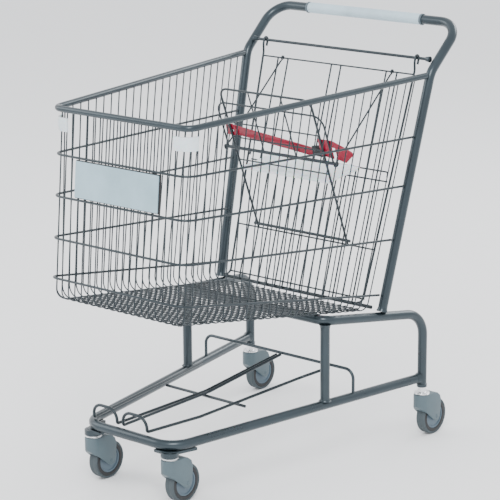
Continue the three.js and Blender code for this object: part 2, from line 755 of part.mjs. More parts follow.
const FULL_WIRES = [
  [16, 16],
  [168, 161],
  [203, 196],
];
const SEAT_WIRE_AHEAD = GATE_WIRE - 0.5; // welded in front, so the plate folds clear of the uprights
const SHORT_WIRES = [44, 70, 99, 130]; // these leave the two leg openings above them
const CROSS_BACK = GATE_WIRE - 0.5; // cross wires are welded behind the upright ones
const HOOK_R = HINGE_ROD_R + GATE_EDGE_R + RUN;
const gatePieces = [];
for (const [, side] of SIDES) {
  const edge = [gateAt(side * (gateHalf(GATE_FOOT) - 1), GATE_FOOT - 6, 24)];
  const foot = gateAt(side * gateHalf(GATE_BOTTOM + 6), GATE_BOTTOM + 6, 0);
  const neck = gateAt(side * GATE_HALF_TOP, 34, 0);
  const shoulder = gateAt(side * GATE_HALF_TOP, 12, HOOK_R);
  const lower = rounded([edge[0], foot, neck], 18, 3);
  const hook = [];
  for (let k = 0; k <= 6; k += 1) {
    const angle = (Math.PI * k) / 6;
    hook.push(gateAt(side * GATE_HALF_TOP, -HOOK_R * Math.sin(angle), HOOK_R * Math.cos(angle)));
  }
  hook.push(gateAt(side * GATE_HALF_TOP, 16, -HOOK_R));
  gatePieces.push(bar([...lower, shoulder, ...hook], GATE_EDGE_R, 6));
  for (const [top, bottom] of FULL_WIRES) {
    gatePieces.push(wire([gateAt(side * top, GATE_TOP), gateAt(side * bottom, GATE_FOOT)], GATE_WIRE));
  }
  for (const x of SHORT_WIRES) {
    const ends = [gateAt(side * x, SEAT_WIRE_UPPER - 2), gateAt(side * x, GATE_FOOT)];
    gatePieces.push(wire(ends, GATE_WIRE));
  }
}
gatePieces.push(bar([gateAt(-GATE_HALF_TOP, GATE_TOP), gateAt(GATE_HALF_TOP, GATE_TOP)], 2, 6));
const seatWireAt = (x) => gateAt(x, SEAT_WIRE_UPPER, SEAT_WIRE_AHEAD);
gatePieces.push(bar([seatWireAt(-236), seatWireAt(236)], 2, 6));
for (const down of [SEAT_WIRE_LOWER, GATE_LOWER, GATE_BOTTOM]) {
  const half = gateHalf(down) + (down === SEAT_WIRE_LOWER ? -11 : 0);
  gatePieces.push(wire([gateAt(-half, down, -CROSS_BACK), gateAt(half, down, -CROSS_BACK)], GATE_WIRE));
}
place('rear_gate', join(gatePieces), PAINT_ROD);

// ---------------------------------------------------------------------------
// Child seat, drawn open
// ---------------------------------------------------------------------------

const linkTop = gateAt(0, GATE_TOP);
const seatRod = V(0, SEAT_ROD_Y, SEAT_ROD_Z);
const backFoot = gateAt(0, GATE_LOWER, BACK_FOOT_OFF);
const backUp = seatRod.clone().sub(backFoot).normalize();
const backAhead = V(1, 0, 0).cross(backUp);
const SEAT_ROD_UP = seatRod.distanceTo(backFoot);

// A point of the seat back: across, up from its foot, and ahead of its plane.
const backAt = (x, up, ahead = 0) => V(x, backFoot.y, backFoot.z)
  .addScaledVector(backUp, up)
  .addScaledVector(backAhead, ahead);

const backFrame = new THREE.Matrix4().makeBasis(V(1, 0, 0), backUp, backAhead).setPosition(backFoot);

// A flat piece lying in the plane of the seat back.
function onBack(outline, depth, ahead, holes = []) {
  const piece = flat(outline, depth, holes);
  piece.translate(0, 0, ahead);
  piece.applyMatrix4(backFrame);
  return piece;
}

const backPieces = [];
backPieces.push(bar(
  rounded(
    [
      backAt(-BACK_HALF, 0),
      backAt(-BACK_HALF, BACK_LENGTH),
      backAt(BACK_HALF, BACK_LENGTH),
      backAt(BACK_HALF, 0),
    ],
    26,
    4,
  ),
  BACK_R,
  8,
));
backPieces.push(bar(
  rounded(
    [
      backAt(-HOOP_BACK_HALF, SEAT_ROD_UP),
      backAt(-HOOP_BACK_HALF, HOOP_BACK_TOP),
      backAt(HOOP_BACK_HALF, HOOP_BACK_TOP),
      backAt(HOOP_BACK_HALF, SEAT_ROD_UP),
    ],
    30,
    4,
  ),
  HOOP_BACK_R,
  6,
));
backPieces.push(bar([backAt(-SEAT_ROD_HALF, SEAT_ROD_UP), backAt(SEAT_ROD_HALF, SEAT_ROD_UP)], SEAT_ROD_R, 10));
backPieces.push(bar([backAt(-165, 13), backAt(165, 13)], 4, 8));
for (const [, side] of SIDES) {
  backPieces.push(bar([backAt(side * 55, SEAT_ROD_UP), backAt(side * 55, BACK_LENGTH)], 2, 6));
}
for (const up of [218, 288, 333]) {
  backPieces.push(bar([backAt(-BACK_HALF, up), backAt(BACK_HALF, up)], 2, 6));
}
place('seat_back_frame', join(backPieces), PAINT_ROD);

// Links from the gate's top wire to the seat back's thick rod.
for (const [tag, side] of SIDES) {
  const eyeHalf = 2.6;
  const eye = (inner, outer, at) => {
    const ring = ringAboutX([[inner, -eyeHalf], [outer, -eyeHalf], [outer, eyeHalf], [inner, eyeHalf]], 10);
    ring.translate(side * LINK_X, at.y, at.z);
    return ring;
  };
  const along = linkTop.clone().sub(seatRod).normalize();
  const lowEye = seatRod.clone().addScaledVector(along, SEAT_ROD_R + RUN + 2);
  const highEye = linkTop.clone().addScaledVector(along, -(2 + RUN + 2));
  const arm = bar([V(side * LINK_X, lowEye.y, lowEye.z), V(side * LINK_X, highEye.y, highEye.z)], LINK_R, 6);
  const link = join([
    arm,
    eye(SEAT_ROD_R + RUN, SEAT_ROD_R + RUN + 3.6, seatRod),
    eye(2 + RUN, 2 + RUN + 3.6, linkTop),
  ]);
  place(`seat_link_${tag}`, link, PAINT_ROD);
}

// Seat plate with knuckles round the gate's upper seat wire.
const plateAxis = seatWireAt(0);
const PLATE_DIP = THREE.MathUtils.degToRad(7.1);
const KNUCKLE_OUT = 2 + RUN + 3;
const platePieces = [];
const plateOutline = [
  [-PLATE_HALF, -PLATE_LENGTH + PLATE_CORNER],
  [-PLATE_HALF + PLATE_CORNER, -PLATE_LENGTH],
  [PLATE_HALF - PLATE_CORNER, -PLATE_LENGTH],
  [PLATE_HALF, -PLATE_LENGTH + PLATE_CORNER],
  [PLATE_HALF, -KNUCKLE_OUT - 1],
  [-PLATE_HALF, -KNUCKLE_OUT - 1],
];
const plateSheet = flat(plateOutline, PLATE_THICK);
plateSheet.translate(0, 0, PLATE_LIFT - PLATE_THICK / 2);
platePieces.push(plateSheet);
for (const x of [-115, -30, 30, 115]) {
  const ring = ringAboutX([[2 + RUN, -6], [KNUCKLE_OUT, -6], [KNUCKLE_OUT, 6], [2 + RUN, 6]], 10);
  ring.translate(x, 0, 0);
  const web = new THREE.BoxGeometry(12, 6, PLATE_THICK - 1);
  web.translate(x, -KNUCKLE_OUT - 1.6, 0);
  platePieces.push(ring, web);
}
const plateBody = join(platePieces);
plateBody.rotateX(PLATE_DIP);
plateBody.translate(0, plateAxis.y, plateAxis.z);
place('seat_plate', plateBody, SEAT_WHITE);

// Lap bar across the opening, turning on a rivet at the right-hand end.
const RIVET_X = -150;
const RIVET_UP = 306;
const RIVET_R = 4;
const PAD_LAYER = -BACK_R - GAP; // rear face of the frame's wires
const BAR_LAYER = PAD_LAYER - BAR_THICK - GAP;
const rivetPad = [
  [-176, 291],
  [-140, 291],
  [-138, 300],
  [-140, 320],
  [-150, 325],
  [-172, 320],
];
place(
  'lap_bar_bracket',
  onBack(rivetPad, BAR_THICK, PAD_LAYER - BAR_THICK, [circle(RIVET_X, RIVET_UP, RIVET_R + GAP, 12)]),
  SEAT_RED,
);
const barOutline = [
  [-162, 298],
  [-156, 292],
  [104, 262],
  [108, 266],
  [108, 285],
  [104, 288],
  [-148, 319],
  [-158, 317],
  [-163, 310],
];
place(
  'lap_bar',
  onBack(barOutline, BAR_THICK, BAR_LAYER - BAR_THICK, [circle(RIVET_X, RIVET_UP, RIVET_R + RUN, 12)]),
  SEAT_RED,
);
const rivetShank = onBack(circle(RIVET_X, RIVET_UP, RIVET_R, 12), 2 * BAR_THICK + 3 * GAP, BAR_LAYER - BAR_THICK - GAP);
const rivetHead = onBack(circle(RIVET_X, RIVET_UP, 7, 12), 2, BAR_LAYER - BAR_THICK - GAP - 2);
place('lap_bar_rivet', join([rivetShank, rivetHead]), ZINC);

const latchOutline = [
  [110, 264],
  [138, 262],
  [146, 268],
  [146, 292],
  [138, 298],
  [110, 292],
];
place('lap_bar_latch', onBack(latchOutline, BAR_THICK, BAR_LAYER - BAR_THICK), LATCH_BLACK);

// Catch plate, notched to let the link through when the seat folds.
const NOTCH = 5.5;
const catchOutline = [
  [141, 271],
  [LINK_X - NOTCH, 266],
  [LINK_X - NOTCH, 300],
  [LINK_X + NOTCH, 300],
  [LINK_X + NOTCH, 266],
  [219, 259],
  [250, 287],
  [245, 295],
  [222, 306],
  [186, 320],
  [141, 320],
];
place('lap_bar_catch', onBack(catchOutline, BAR_THICK, PAD_LAYER - BAR_THICK), SEAT_RED);

// ---------------------------------------------------------------------------
// Undershelf
// ---------------------------------------------------------------------------

const archHalf = lowerAt(ARCH_Y).x;
const archFootZ = lowerAt(ARCH_Y).z + TUBE_R + GAP + 0.2;
place(
  'rack_arch',
  bar(
    rounded(
      [
        V(-archHalf, ARCH_Y, archFootZ),
        V(-archHalf, ARCH_Y, ARCH_TOP_Z),
        V(archHalf, ARCH_Y, ARCH_TOP_Z),
        V(archHalf, ARCH_Y, archFootZ),
      ],
      25,
      4,
    ),
    RACK_ROD_R,
    8,
  ),
  PAINT,
);
const rackEndY = ARCH_Y - RACK_ROD_R - RACK_WIRE_R - GAP;
const RACK_LOW_Z = LOWER_FRONT_Z + TUBE_R + RACK_WIRE_R + 1.5;
const RACK_LOOP_Z = RACK_LOW_Z + 37;
const RACK_NOSE_Y = -440;
const rackLeft = [
  V(-lowerAt(rackEndY - 40).x + TUBE_R + 6.5, rackEndY - 40, 172),
  V(-lowerAt(-105).x + TUBE_R + 5, -105, 170.5),
  V(-128, RACK_NOSE_Y, RACK_LOW_Z),
  V(-128, RACK_NOSE_Y - 3, RACK_LOOP_Z),
  V(-47, RACK_NOSE_Y - 3, RACK_LOOP_Z),
  V(-47, RACK_NOSE_Y, RACK_LOW_Z),
  V(-41, -114, 178.5),
  V(4, rackEndY, ARCH_TOP_Z - 5),
];
place('rack_hairpin_r', bar(rounded(rackLeft, [60, 6, 28, 28, 6, 60], 4), RACK_WIRE_R, 6), PAINT_ROD);
const rackRight = [
  V(18, rackEndY, ARCH_TOP_Z - 2),
  V(-30, -114, 178.5),
  V(-26, RACK_NOSE_Y, RACK_LOW_Z),
  V(-26, RACK_NOSE_Y - 3, RACK_LOOP_Z),
  V(56, RACK_NOSE_Y - 3, RACK_LOOP_Z),
  V(56, RACK_NOSE_Y, RACK_LOW_Z),
  V(82, -274, 176),
  V(122, 75, 201),
  V(184, rackEndY, ARCH_TOP_Z - 5),
];
place('rack_hairpin_l', bar(rounded(rackRight, [60, 6, 28, 28, 6, 60, 40], 4), RACK_WIRE_R, 6), PAINT_ROD);
const crossRod = [V(-190, -105, 160.5), V(117, -141, 176.5)];
place('rack_cross_rod', bar(crossRod, RACK_WIRE_R, 6), PAINT_ROD);

// ---------------------------------------------------------------------------
// Casters, all trailing towards the rear
// ---------------------------------------------------------------------------

const WHEEL_SEGMENTS = 20;
const FORK_HALF = 21;
const SLOT_HALF = TYRE_WIDTH / 2 + 1.5;
const AXLE_Z = WHEEL_R;

function forkGeometry() {
  const side = [
    [-FORK_R, FORK_TOP],
    [-FORK_R, 88],
    [-14, 80],
    [12, 58],
    [34, 40],
    [44, 37],
    [54, 41],
    [58, 54],
    [61, 74],
    [62, 94],
    [57, 108],
    [45, 117],
    [30, FORK_TOP],
  ];
  const profile = flat(side, 2 * FORK_R + 2);
  profile.translate(0, 0, -FORK_R - 1);
  profile.applyMatrix4(new THREE.Matrix4().makeBasis(V(0, 1, 0), V(0, 0, 1), V(1, 0, 0)));
  const plan = [[-FORK_HALF, 70]];
  for (let k = 0; k <= 8; k += 1) {
    const angle = Math.PI + (Math.PI * k) / 8;
    plan.push([FORK_HALF * Math.cos(angle), FORK_R * Math.sin(angle)]);
  }
  plan.push([FORK_HALF, 70]);
  const column = flat(plan, FORK_TOP + 20);
  const slot = ringAboutX([[1, -SLOT_HALF], [WHEEL_R + 3, -SLOT_HALF], [WHEEL_R + 3, SLOT_HALF], [1, SLOT_HALF]], 24);
  slot.translate(0, WHEEL_TRAIL, AXLE_Z);
  const core = bar([V(-SLOT_HALF, WHEEL_TRAIL, AXLE_Z), V(SLOT_HALF, WHEEL_TRAIL, AXLE_Z)], 2, 8);
  const axle = bar([V(-FORK_HALF + 1, WHEEL_TRAIL, AXLE_Z), V(FORK_HALF - 1, WHEEL_TRAIL, AXLE_Z)], AXLE_R, 12);
  const body = toSolid(profile).intersect(toSolid(column)).subtract(toSolid(slot)).subtract(toSolid(core));
  return fromSolid(body.add(toSolid(axle)));
}

function caster(prefix, x, y, neckTop) {
  const ring = [[0, FORK_TOP + GAP], [20.5, FORK_TOP + GAP], [21.5, FORK_TOP + 2], [20, RING_TOP]];
  if (neckTop > RING_TOP) {
    ring.push([11, RING_TOP], [11, neckTop], [0, neckTop]);
  } else {
    ring.push([0, RING_TOP]);
  }
  const race = new THREE.LatheGeometry(ring.map(([r, z]) => new THREE.Vector2(r, z)), 12);
  race.rotateX(Math.PI / 2);
  race.translate(x, y, 0);
  place(`${prefix}_race`, race, ZINC);

  const fork = forkGeometry();
  fork.translate(x, y, 0);
  place(`${prefix}_fork`, fork, FORK_GREY);

  const hubR = WHEEL_R - TYRE_DEPTH - GAP;
  const hub = ringAboutX(
    [
      [AXLE_R + RUN, -14.5],
      [12, -14.5],
      [16, -8],
      [hubR, -10],
      [hubR, 10],
      [16, 8],
      [12, 14.5],
      [AXLE_R + RUN, 14.5],
    ],
    WHEEL_SEGMENTS,
  );
  hub.translate(x, y + WHEEL_TRAIL, AXLE_Z);
  place(`${prefix}_hub`, hub, HUB_GREY);

  const treadR = WHEEL_R - TYRE_DEPTH;
  const tyre = ringAboutX(
    [
      [treadR, -12],
      [treadR + 4.5, -TYRE_WIDTH / 2],
      [WHEEL_R, -10],
      [WHEEL_R, 10],
      [treadR + 4.5, TYRE_WIDTH / 2],
      [treadR, 12],
    ],
    WHEEL_SEGMENTS,
  );
  tyre.translate(x, y + WHEEL_TRAIL, AXLE_Z);
  place(`${prefix}_tyre`, tyre, TYRE_GREY);
}

for (const [tag, side] of SIDES) {
  caster(`rear_${tag}`, side * REAR_HALF, REAR_Y, LEG_FOOT_Z - GAP);
  caster(`front_${tag}`, side * FRONT_CASTER_HALF, FRONT_CASTER_Y, RING_TOP);
}

// Origin at the middle of the cart's outline on the floor.
const outlineBox = new THREE.Box3().setFromObject(cart, true);
cart.position.y = -(outlineBox.min.y + outlineBox.max.y) / 2;
cart.position.z = -outlineBox.min.z;
cart.updateMatrixWorld(true);

export default cart;
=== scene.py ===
"""Nesting shopping cart: smooth tubes and wires, moulded fittings, casters and stage."""

import math

import bmesh
import bpy
from bpy.props import FloatProperty, FloatVectorProperty, IntProperty, PointerProperty
from mathutils import Matrix, Vector


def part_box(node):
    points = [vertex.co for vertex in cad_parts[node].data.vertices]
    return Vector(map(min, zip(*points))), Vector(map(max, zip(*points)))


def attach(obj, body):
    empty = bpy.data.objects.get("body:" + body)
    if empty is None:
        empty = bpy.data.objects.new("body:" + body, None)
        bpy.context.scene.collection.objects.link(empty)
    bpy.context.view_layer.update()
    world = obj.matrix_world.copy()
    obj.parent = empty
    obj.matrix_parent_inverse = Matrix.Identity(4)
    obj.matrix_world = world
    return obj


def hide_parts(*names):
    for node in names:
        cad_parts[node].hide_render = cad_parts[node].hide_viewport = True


bl_info = {
    "name": "Nesting shopping cart",
    "version": (1, 0, 0),
    "blender": (4, 5, 0),
    "location": "View3D > Sidebar > Cart",
    "description": "Builds a nesting shopping cart round its frame, with materials and a stage",
    "category": "Add Mesh",
}

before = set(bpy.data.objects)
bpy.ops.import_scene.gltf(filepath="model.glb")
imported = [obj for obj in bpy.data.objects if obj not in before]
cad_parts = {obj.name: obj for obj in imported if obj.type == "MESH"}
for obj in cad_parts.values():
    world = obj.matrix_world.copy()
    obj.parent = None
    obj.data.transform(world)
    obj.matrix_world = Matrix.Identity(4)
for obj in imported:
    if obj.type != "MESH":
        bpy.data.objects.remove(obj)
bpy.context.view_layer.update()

MM = 0.001

# Sizes shared with the frame, in millimetres
TUBE_R = 12.5
RIM_R = 8.0
HOOP_R = 3.0
REAR_HALF, REAR_Y = 304.0, 369.0
LEG_FOOT_Z = 141.0
RAIL_REAR_Z = 345.0
RAIL_FRONT = (243.0, 25.0, 390.0)
LOWER_REAR_Z = 167.0
LOWER_FRONT = (147.5, -449.0, 156.0)
POST_FOOT_Y = 219.0
POST_BEND = (313.0, 375.0, 993.0)
HANDLE = (316.0, 500.0, 1107.0)
GRIP_HALF = 190.0
BASKET_FRONT = (224.7, -455.0, 958.0)
RIM_REAR_Z = 987.0
WIRE_INSET = 5.0
NOSE_LEAN = 41.0
FLOOR_FRONT_Z = 482.0
FLOOR_SLOPE = 0.148
FLOOR_REAR_HALF = 272.0
SIDE_TOP = (-420.0, 322.0)
SIDE_FOOT = (-452.0, 172.0)
CORNER_R = 30.0
HOOP_FRONT_Z = (844.5, 740.6, 635.0, 535.2)
HOOP_REAR_Z = (831.0, 705.0, 567.0, 424.0)
HINGE = (390.0, 1024.0)
GATE_LEAN = math.radians(16.8)
GATE_TOP, SEAT_WIRE_UPPER, SEAT_WIRE_LOWER = 44.0, 306.0, 331.0
GATE_LOWER, GATE_BOTTOM, GATE_FOOT = 512.0, 644.0, 662.0
SEAT_ROD = (142.0, 773.0)
SEAT_WIRE_AHEAD = 3.5
ARCH_Y, ARCH_TOP_Z = 128.0, 236.0
RACK_WIRE_R = 4.0
LEG_BEND, RAIL_BEND, LOWER_BEND, HANDLE_BEND, RIM_BEND = 65.0, 36.0, 62.0, 60.0, 26.0
FOOT_BEND, NOSE_FOOT_BEND = 30.0, 26.0
FRONT_PITCH, FRONT_WIRES_EACH_SIDE = 22.7, 8
FRONT_CORNER_TURNS = (30, 62)
GRIP_R = 14.6
HINGE_ROD_R, GATE_EDGE_R = 4.0, 3.0
GATE_HALF_TOP, GATE_HALF_FOOT = 258.0, 231.0
SEAT_WIRE_HALF = 236.0
CROSS_BACK = 3.5
FLOOR_ROD_R = 5.0
BACK_R, BACK_HALF, BACK_LENGTH = 3.0, 154.0, 436.0
HOOP_BACK_R, HOOP_BACK_HALF, HOOP_BACK_TOP = 2.5, 179.0, 392.0
SEAT_ROD_R, SEAT_ROD_HALF = 4.5, 193.0
RIVET_X, RIVET_UP = -150.0, 306.0
STUDS = ((176, 310), (206, 268))
GATE_LONG_WIRES = ((16, 16), (168, 161), (203, 196))
GATE_SHORT_WIRES = (44, 70, 99, 130)
BACK_UPRIGHTS, BACK_CROSSES = (-55, 55), (218, 288, 333)
RACK_NOSE_Y, RACK_LOOP_TALL = -440, 37
RACK_LOOP_R, RACK_LOOP_L = (-128, -47), (-26, 56)
RACK_BENDS = [60, 6, 28, 28, 6, 60]
HINGE_CONE_X = 286.0
AXLE_CAP_OUT = 20.4

# The view: camera place in millimetres, turns in degrees, film and lens in millimetres
VIEW_PLACE = (3438, -3962, 1880)
VIEW_BEARING, VIEW_DROP, VIEW_ROLL = 40.82, 14.30, -0.37
FILM, LENS = 36.0, 149.76


def span(node):
    """Lowest and highest corners of a frame node as vectors, in metres."""
    low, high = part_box(node)
    return Vector(low), Vector(high)


def centre(node):
    low, high = span(node)
    return (low + high) / 2


# The frame's origin is the middle of the outline: this carries the shop drawing's
# places along the cart into the frame.
SHIFT_Y = centre("gate_hinge_rod").y / MM - HINGE[0]


def P(x, y, z):
    return Vector((x * MM, (y + SHIFT_Y) * MM, z * MM))


def between(a, b, t):
    return a + (b - a) * t


# ---------------------------------------------------------------------------
# Settings
# ---------------------------------------------------------------------------


class CartWireSettings(bpy.types.PropertyGroup):
    wire: FloatProperty(
        name="Basket wire", description="Diameter of a basket wire", default=0.0033,
        min=0.001, subtype="DISTANCE", unit="LENGTH",
    )
    gate_wire: FloatProperty(
        name="Gate wire", description="Diameter of the gate's inner wires", default=0.0044,
        min=0.001, subtype="DISTANCE", unit="LENGTH",
    )
    side_wires: IntProperty(
        name="Side wires", description="Upright wires in each side of the basket", default=25, min=3,
    )
    floor_cross: IntProperty(
        name="Floor cross wires", description="Wires across the basket's floor", default=33, min=3,
    )
    floor_long: IntProperty(
        name="Floor long wires", description="Wires along the basket's floor", default=25, min=3,
    )
    bend_steps: IntProperty(
        name="Bend steps", description="Facets along each bend of a rod", default=8, min=1,
    )


class CartLookSettings(bpy.types.PropertyGroup):
    paint: FloatVectorProperty(
        name="Paint", description="Colour of the tube and wire paint", subtype="COLOR",
        default=(0.024, 0.038, 0.047), min=0.0, max=1.0,
    )
    red: FloatVectorProperty(
        name="Lap bar", description="Colour of the lap bar and its fittings", subtype="COLOR",
        default=(0.30, 0.002, 0.026), min=0.0, max=1.0,
    )
    grip: FloatVectorProperty(
        name="Grip", description="Colour of the handle's grip", subtype="COLOR",
        default=(0.46, 0.59, 0.66), min=0.0, max=1.0,
    )
    sign: FloatVectorProperty(
        name="Sign", description="Colour of the blank sign board", subtype="COLOR",
        default=(0.33, 0.47, 0.54), min=0.0, max=1.0,
    )
    floor: FloatVectorProperty(
        name="Floor", description="Colour of the stage's floor", subtype="COLOR",
        default=(0.97, 0.97, 0.97), min=0.0, max=1.0,
    )


def wires():
    return bpy.context.scene.cart_wires


def looks():
    return bpy.context.scene.cart_looks


# ---------------------------------------------------------------------------
# Lines of the frame
# ---------------------------------------------------------------------------


def rail_at(y):
    t = (y - RAIL_FRONT[1]) / (REAR_Y - RAIL_FRONT[1])
    return between(RAIL_FRONT[0], REAR_HALF, t), between(RAIL_FRONT[2], RAIL_REAR_Z, t)


def lower_at(y):
    t = (y - LOWER_FRONT[1]) / (REAR_Y - LOWER_FRONT[1])
    return between(LOWER_FRONT[0], REAR_HALF, t), between(LOWER_FRONT[2], LOWER_REAR_Z, t)


POST_FOOT = (rail_at(POST_FOOT_Y)[0] + 4, POST_FOOT_Y, rail_at(POST_FOOT_Y)[1] + TUBE_R + 5.2)


def post_at(z):
    t = (z - POST_FOOT[2]) / (POST_BEND[2] - POST_FOOT[2])
    return between(POST_FOOT[0], POST_BEND[0], t), between(POST_FOOT[1], POST_BEND[1], t)


POST_LEAN = math.atan2(POST_BEND[1] - POST_FOOT[1], POST_BEND[2] - POST_FOOT[2])
RIM_END = (
    post_at(RIM_REAR_Z)[0] - 1,
    post_at(RIM_REAR_Z)[1] - TUBE_R / math.cos(POST_LEAN) - 0.3 - RIM_R * math.sin(POST_LEAN) - 1,
)


def rim_at(y):
    t = (y - BASKET_FRONT[1]) / (RIM_END[1] - BASKET_FRONT[1])
    return between(BASKET_FRONT[0], RIM_END[0], t), between(BASKET_FRONT[2], RIM_REAR_Z, t)


NOSE_TOP_Y = BASKET_FRONT[1] + WIRE_INSET
NOSE_FOOT_Y = NOSE_TOP_Y - NOSE_LEAN
NOSE_HALF = BASKET_FRONT[0] - WIRE_INSET


def floor_z(y):
    return FLOOR_FRONT_Z - FLOOR_SLOPE * (y - NOSE_FOOT_Y)


def foot_half(y):
    t = (y - SIDE_FOOT[0]) / (200 - SIDE_FOOT[0])
    return between(NOSE_HALF, FLOOR_REAR_HALF - WIRE_INSET, t)


def nose_y(z):
    return NOSE_TOP_Y - NOSE_LEAN * (947.4 - z) / (947.4 - FLOOR_FRONT_Z)


def side_half(y, z):
    """Half width of the side wires' surface at a place and height."""
    low, high, half = -0.4, 1.6, 0.0
    for _ in range(40):
        t = (low + high) / 2
        ty, fy = between(*SIDE_TOP, t), between(*SIDE_FOOT, t)
        tx, tz = rim_at(ty)
        drop = (tz - 10.6 - z) / (tz - 10.6 - floor_z(fy))
        half = between(tx - WIRE_INSET, foot_half(fy), drop)
        if between(ty, fy, drop) < y:
            low = t
        else:
            high = t
    return half


def gate_at(x, down, ahead=0.0):
    y = HINGE[0] - math.sin(GATE_LEAN) * down - math.cos(GATE_LEAN) * ahead
    z = HINGE[1] - math.cos(GATE_LEAN) * down + math.sin(GATE_LEAN) * ahead
    return P(x, y, z)


def gate_half(down):
    return between(GATE_HALF_TOP, GATE_HALF_FOOT, (down - GATE_TOP) / (GATE_BOTTOM - GATE_TOP))


_foot = gate_at(0, GATE_LOWER, 8.0)
_rod = P(0, *SEAT_ROD)
BACK_UP = (_rod - _foot).normalized()
BACK_AHEAD = Vector((1, 0, 0)).cross(BACK_UP)
SEAT_ROD_UP = (_rod - _foot).length / MM


def back_at(x, up, ahead=0.0):
    return _foot + Vector((x * MM, 0, 0)) + BACK_UP * (up * MM) + BACK_AHEAD * (ahead * MM)


# ---------------------------------------------------------------------------
# Materials
# ---------------------------------------------------------------------------


def shader_group(name, inputs, outputs):
    group = bpy.data.node_groups.new(name, "ShaderNodeTree")
    for label, kind, default in inputs:
        socket = group.interface.new_socket(label, in_out="INPUT", socket_type=kind)
        socket.default_value = default
    for label, kind in outputs:
        group.interface.new_socket(label, in_out="OUTPUT", socket_type=kind)
    start = group.nodes.new("NodeGroupInput")
    end = group.nodes.new("NodeGroupOutput")
    return group, start, end


def grain_group():
    """Handled surface: cloudy colour, fine speckle, scuffs and a bump height."""
    name = "Handled surface"
    if name in bpy.data.node_groups:
        return bpy.data.node_groups[name]
    group, start, end = shader_group(
        name,
        [
            ("Base", "NodeSocketColor", (0.5, 0.5, 0.5, 1)),
            ("Worn", "NodeSocketColor", (0.6, 0.6, 0.6, 1)),
            ("Grain scale", "NodeSocketFloat", 900.0),
            ("Cloud scale", "NodeSocketFloat", 9.0),
            ("Wear", "NodeSocketFloat", 0.3),
            ("Roughness", "NodeSocketFloat", 0.45),
        ],
        [("Color", "NodeSocketColor"), ("Roughness", "NodeSocketFloat"), ("Height", "NodeSocketFloat")],
    )
    nodes, link = group.nodes, group.links.new
    place = nodes.new("ShaderNodeTexCoord")

    def noise(scale, detail, rough):
        node = nodes.new("ShaderNodeTexNoise")
        node.inputs["Detail"].default_value = detail
        node.inputs["Roughness"].default_value = rough
        link(place.outputs["Object"], node.inputs["Vector"])
        if isinstance(scale, str):
            link(start.outputs[scale], node.inputs["Scale"])
        else:
            node.inputs["Scale"].default_value = scale
        return node.outputs["Fac"]

    def spread(value, low, high, to_low, to_high):
        node = nodes.new("ShaderNodeMapRange")
        node.inputs["From Min"].default_value = low
        node.inputs["From Max"].default_value = high
        node.inputs["To Min"].default_value = to_low
        node.inputs["To Max"].default_value = to_high
        link(value, node.inputs["Value"])
        return node.outputs["Result"]

    def maths(kind, a, b):
        node = nodes.new("ShaderNodeMath")
        node.operation = kind
        for i, value in enumerate((a, b)):
            if isinstance(value, (int, float)):
                node.inputs[i].default_value = value
            else:
                link(value, node.inputs[i])
        return node.outputs["Value"]

    cloud = noise("Cloud scale", 4.0, 0.6)
    grain = noise("Grain scale", 2.0, 0.5)
    scuff = noise(38.0, 6.0, 0.75)
    bright = nodes.new("ShaderNodeHueSaturation")
    link(start.outputs["Base"], bright.inputs["Color"])
    value = maths("ADD", spread(cloud, 0.3, 0.7, 0.86, 1.1), spread(grain, 0.3, 0.7, -0.05, 0.05))
    link(value, bright.inputs["Value"])
    worn = maths("MULTIPLY", spread(scuff, 0.62, 0.76, 0.0, 1.0), start.outputs["Wear"])
    blend = nodes.new("ShaderNodeMix")
    blend.data_type = "RGBA"
    link(worn, blend.inputs["Factor"])
    link(bright.outputs["Color"], blend.inputs[6])
    link(start.outputs["Worn"], blend.inputs[7])
    link(blend.outputs[2], end.inputs["Color"])
    rough = maths("ADD", start.outputs["Roughness"], spread(cloud, 0.3, 0.7, -0.05, 0.07))
    link(maths("ADD", rough, maths("MULTIPLY", worn, 0.22)), end.inputs["Roughness"])
    link(maths("ADD", grain, maths("MULTIPLY", worn, -0.5)), end.inputs["Height"])
    return group


def finish_material(name, base, rough, metallic=0.0, worn=None, wear=0.25, grain=900.0, cloud=9.0,
                    bump=0.00006, coat=0.0, scatter=0.0):
    """A finish for one kind of surface, built once."""
    if name in bpy.data.materials:
        return bpy.data.materials[name]
    look = bpy.data.materials.new(name)
    look.use_nodes = True
    nodes, link = look.node_tree.nodes, look.node_tree.links.new
    shader = nodes["Principled BSDF"]
    surface = nodes.new("ShaderNodeGroup")
    surface.node_tree = grain_group()
    worn = worn or tuple(min(1.0, c * 1.5 + 0.03) for c in base)
    surface.inputs["Base"].default_value = (*base, 1)
    surface.inputs["Worn"].default_value = (*worn, 1)
    surface.inputs["Grain scale"].default_value = grain
    surface.inputs["Cloud scale"].default_value = cloud
    surface.inputs["Wear"].default_value = wear
    surface.inputs["Roughness"].default_value = rough
    link(surface.outputs["Color"], shader.inputs["Base Color"])
    link(surface.outputs["Roughness"], shader.inputs["Roughness"])
    raised = nodes.new("ShaderNodeBump")
    raised.inputs["Strength"].default_value = 0.6
    raised.inputs["Distance"].default_value = bump
    link(surface.outputs["Height"], raised.inputs["Height"])
    link(raised.outputs["Normal"], shader.inputs["Normal"])
    shader.inputs["Metallic"].default_value = metallic
    shader.inputs["Coat Weight"].default_value = coat
    shader.inputs["Coat Roughness"].default_value = 0.18
    shader.inputs["Subsurface Weight"].default_value = scatter
    shader.inputs["Subsurface Scale"].default_value = 0.004
    return look


def rgb(value):
    return tuple(value)[:3]


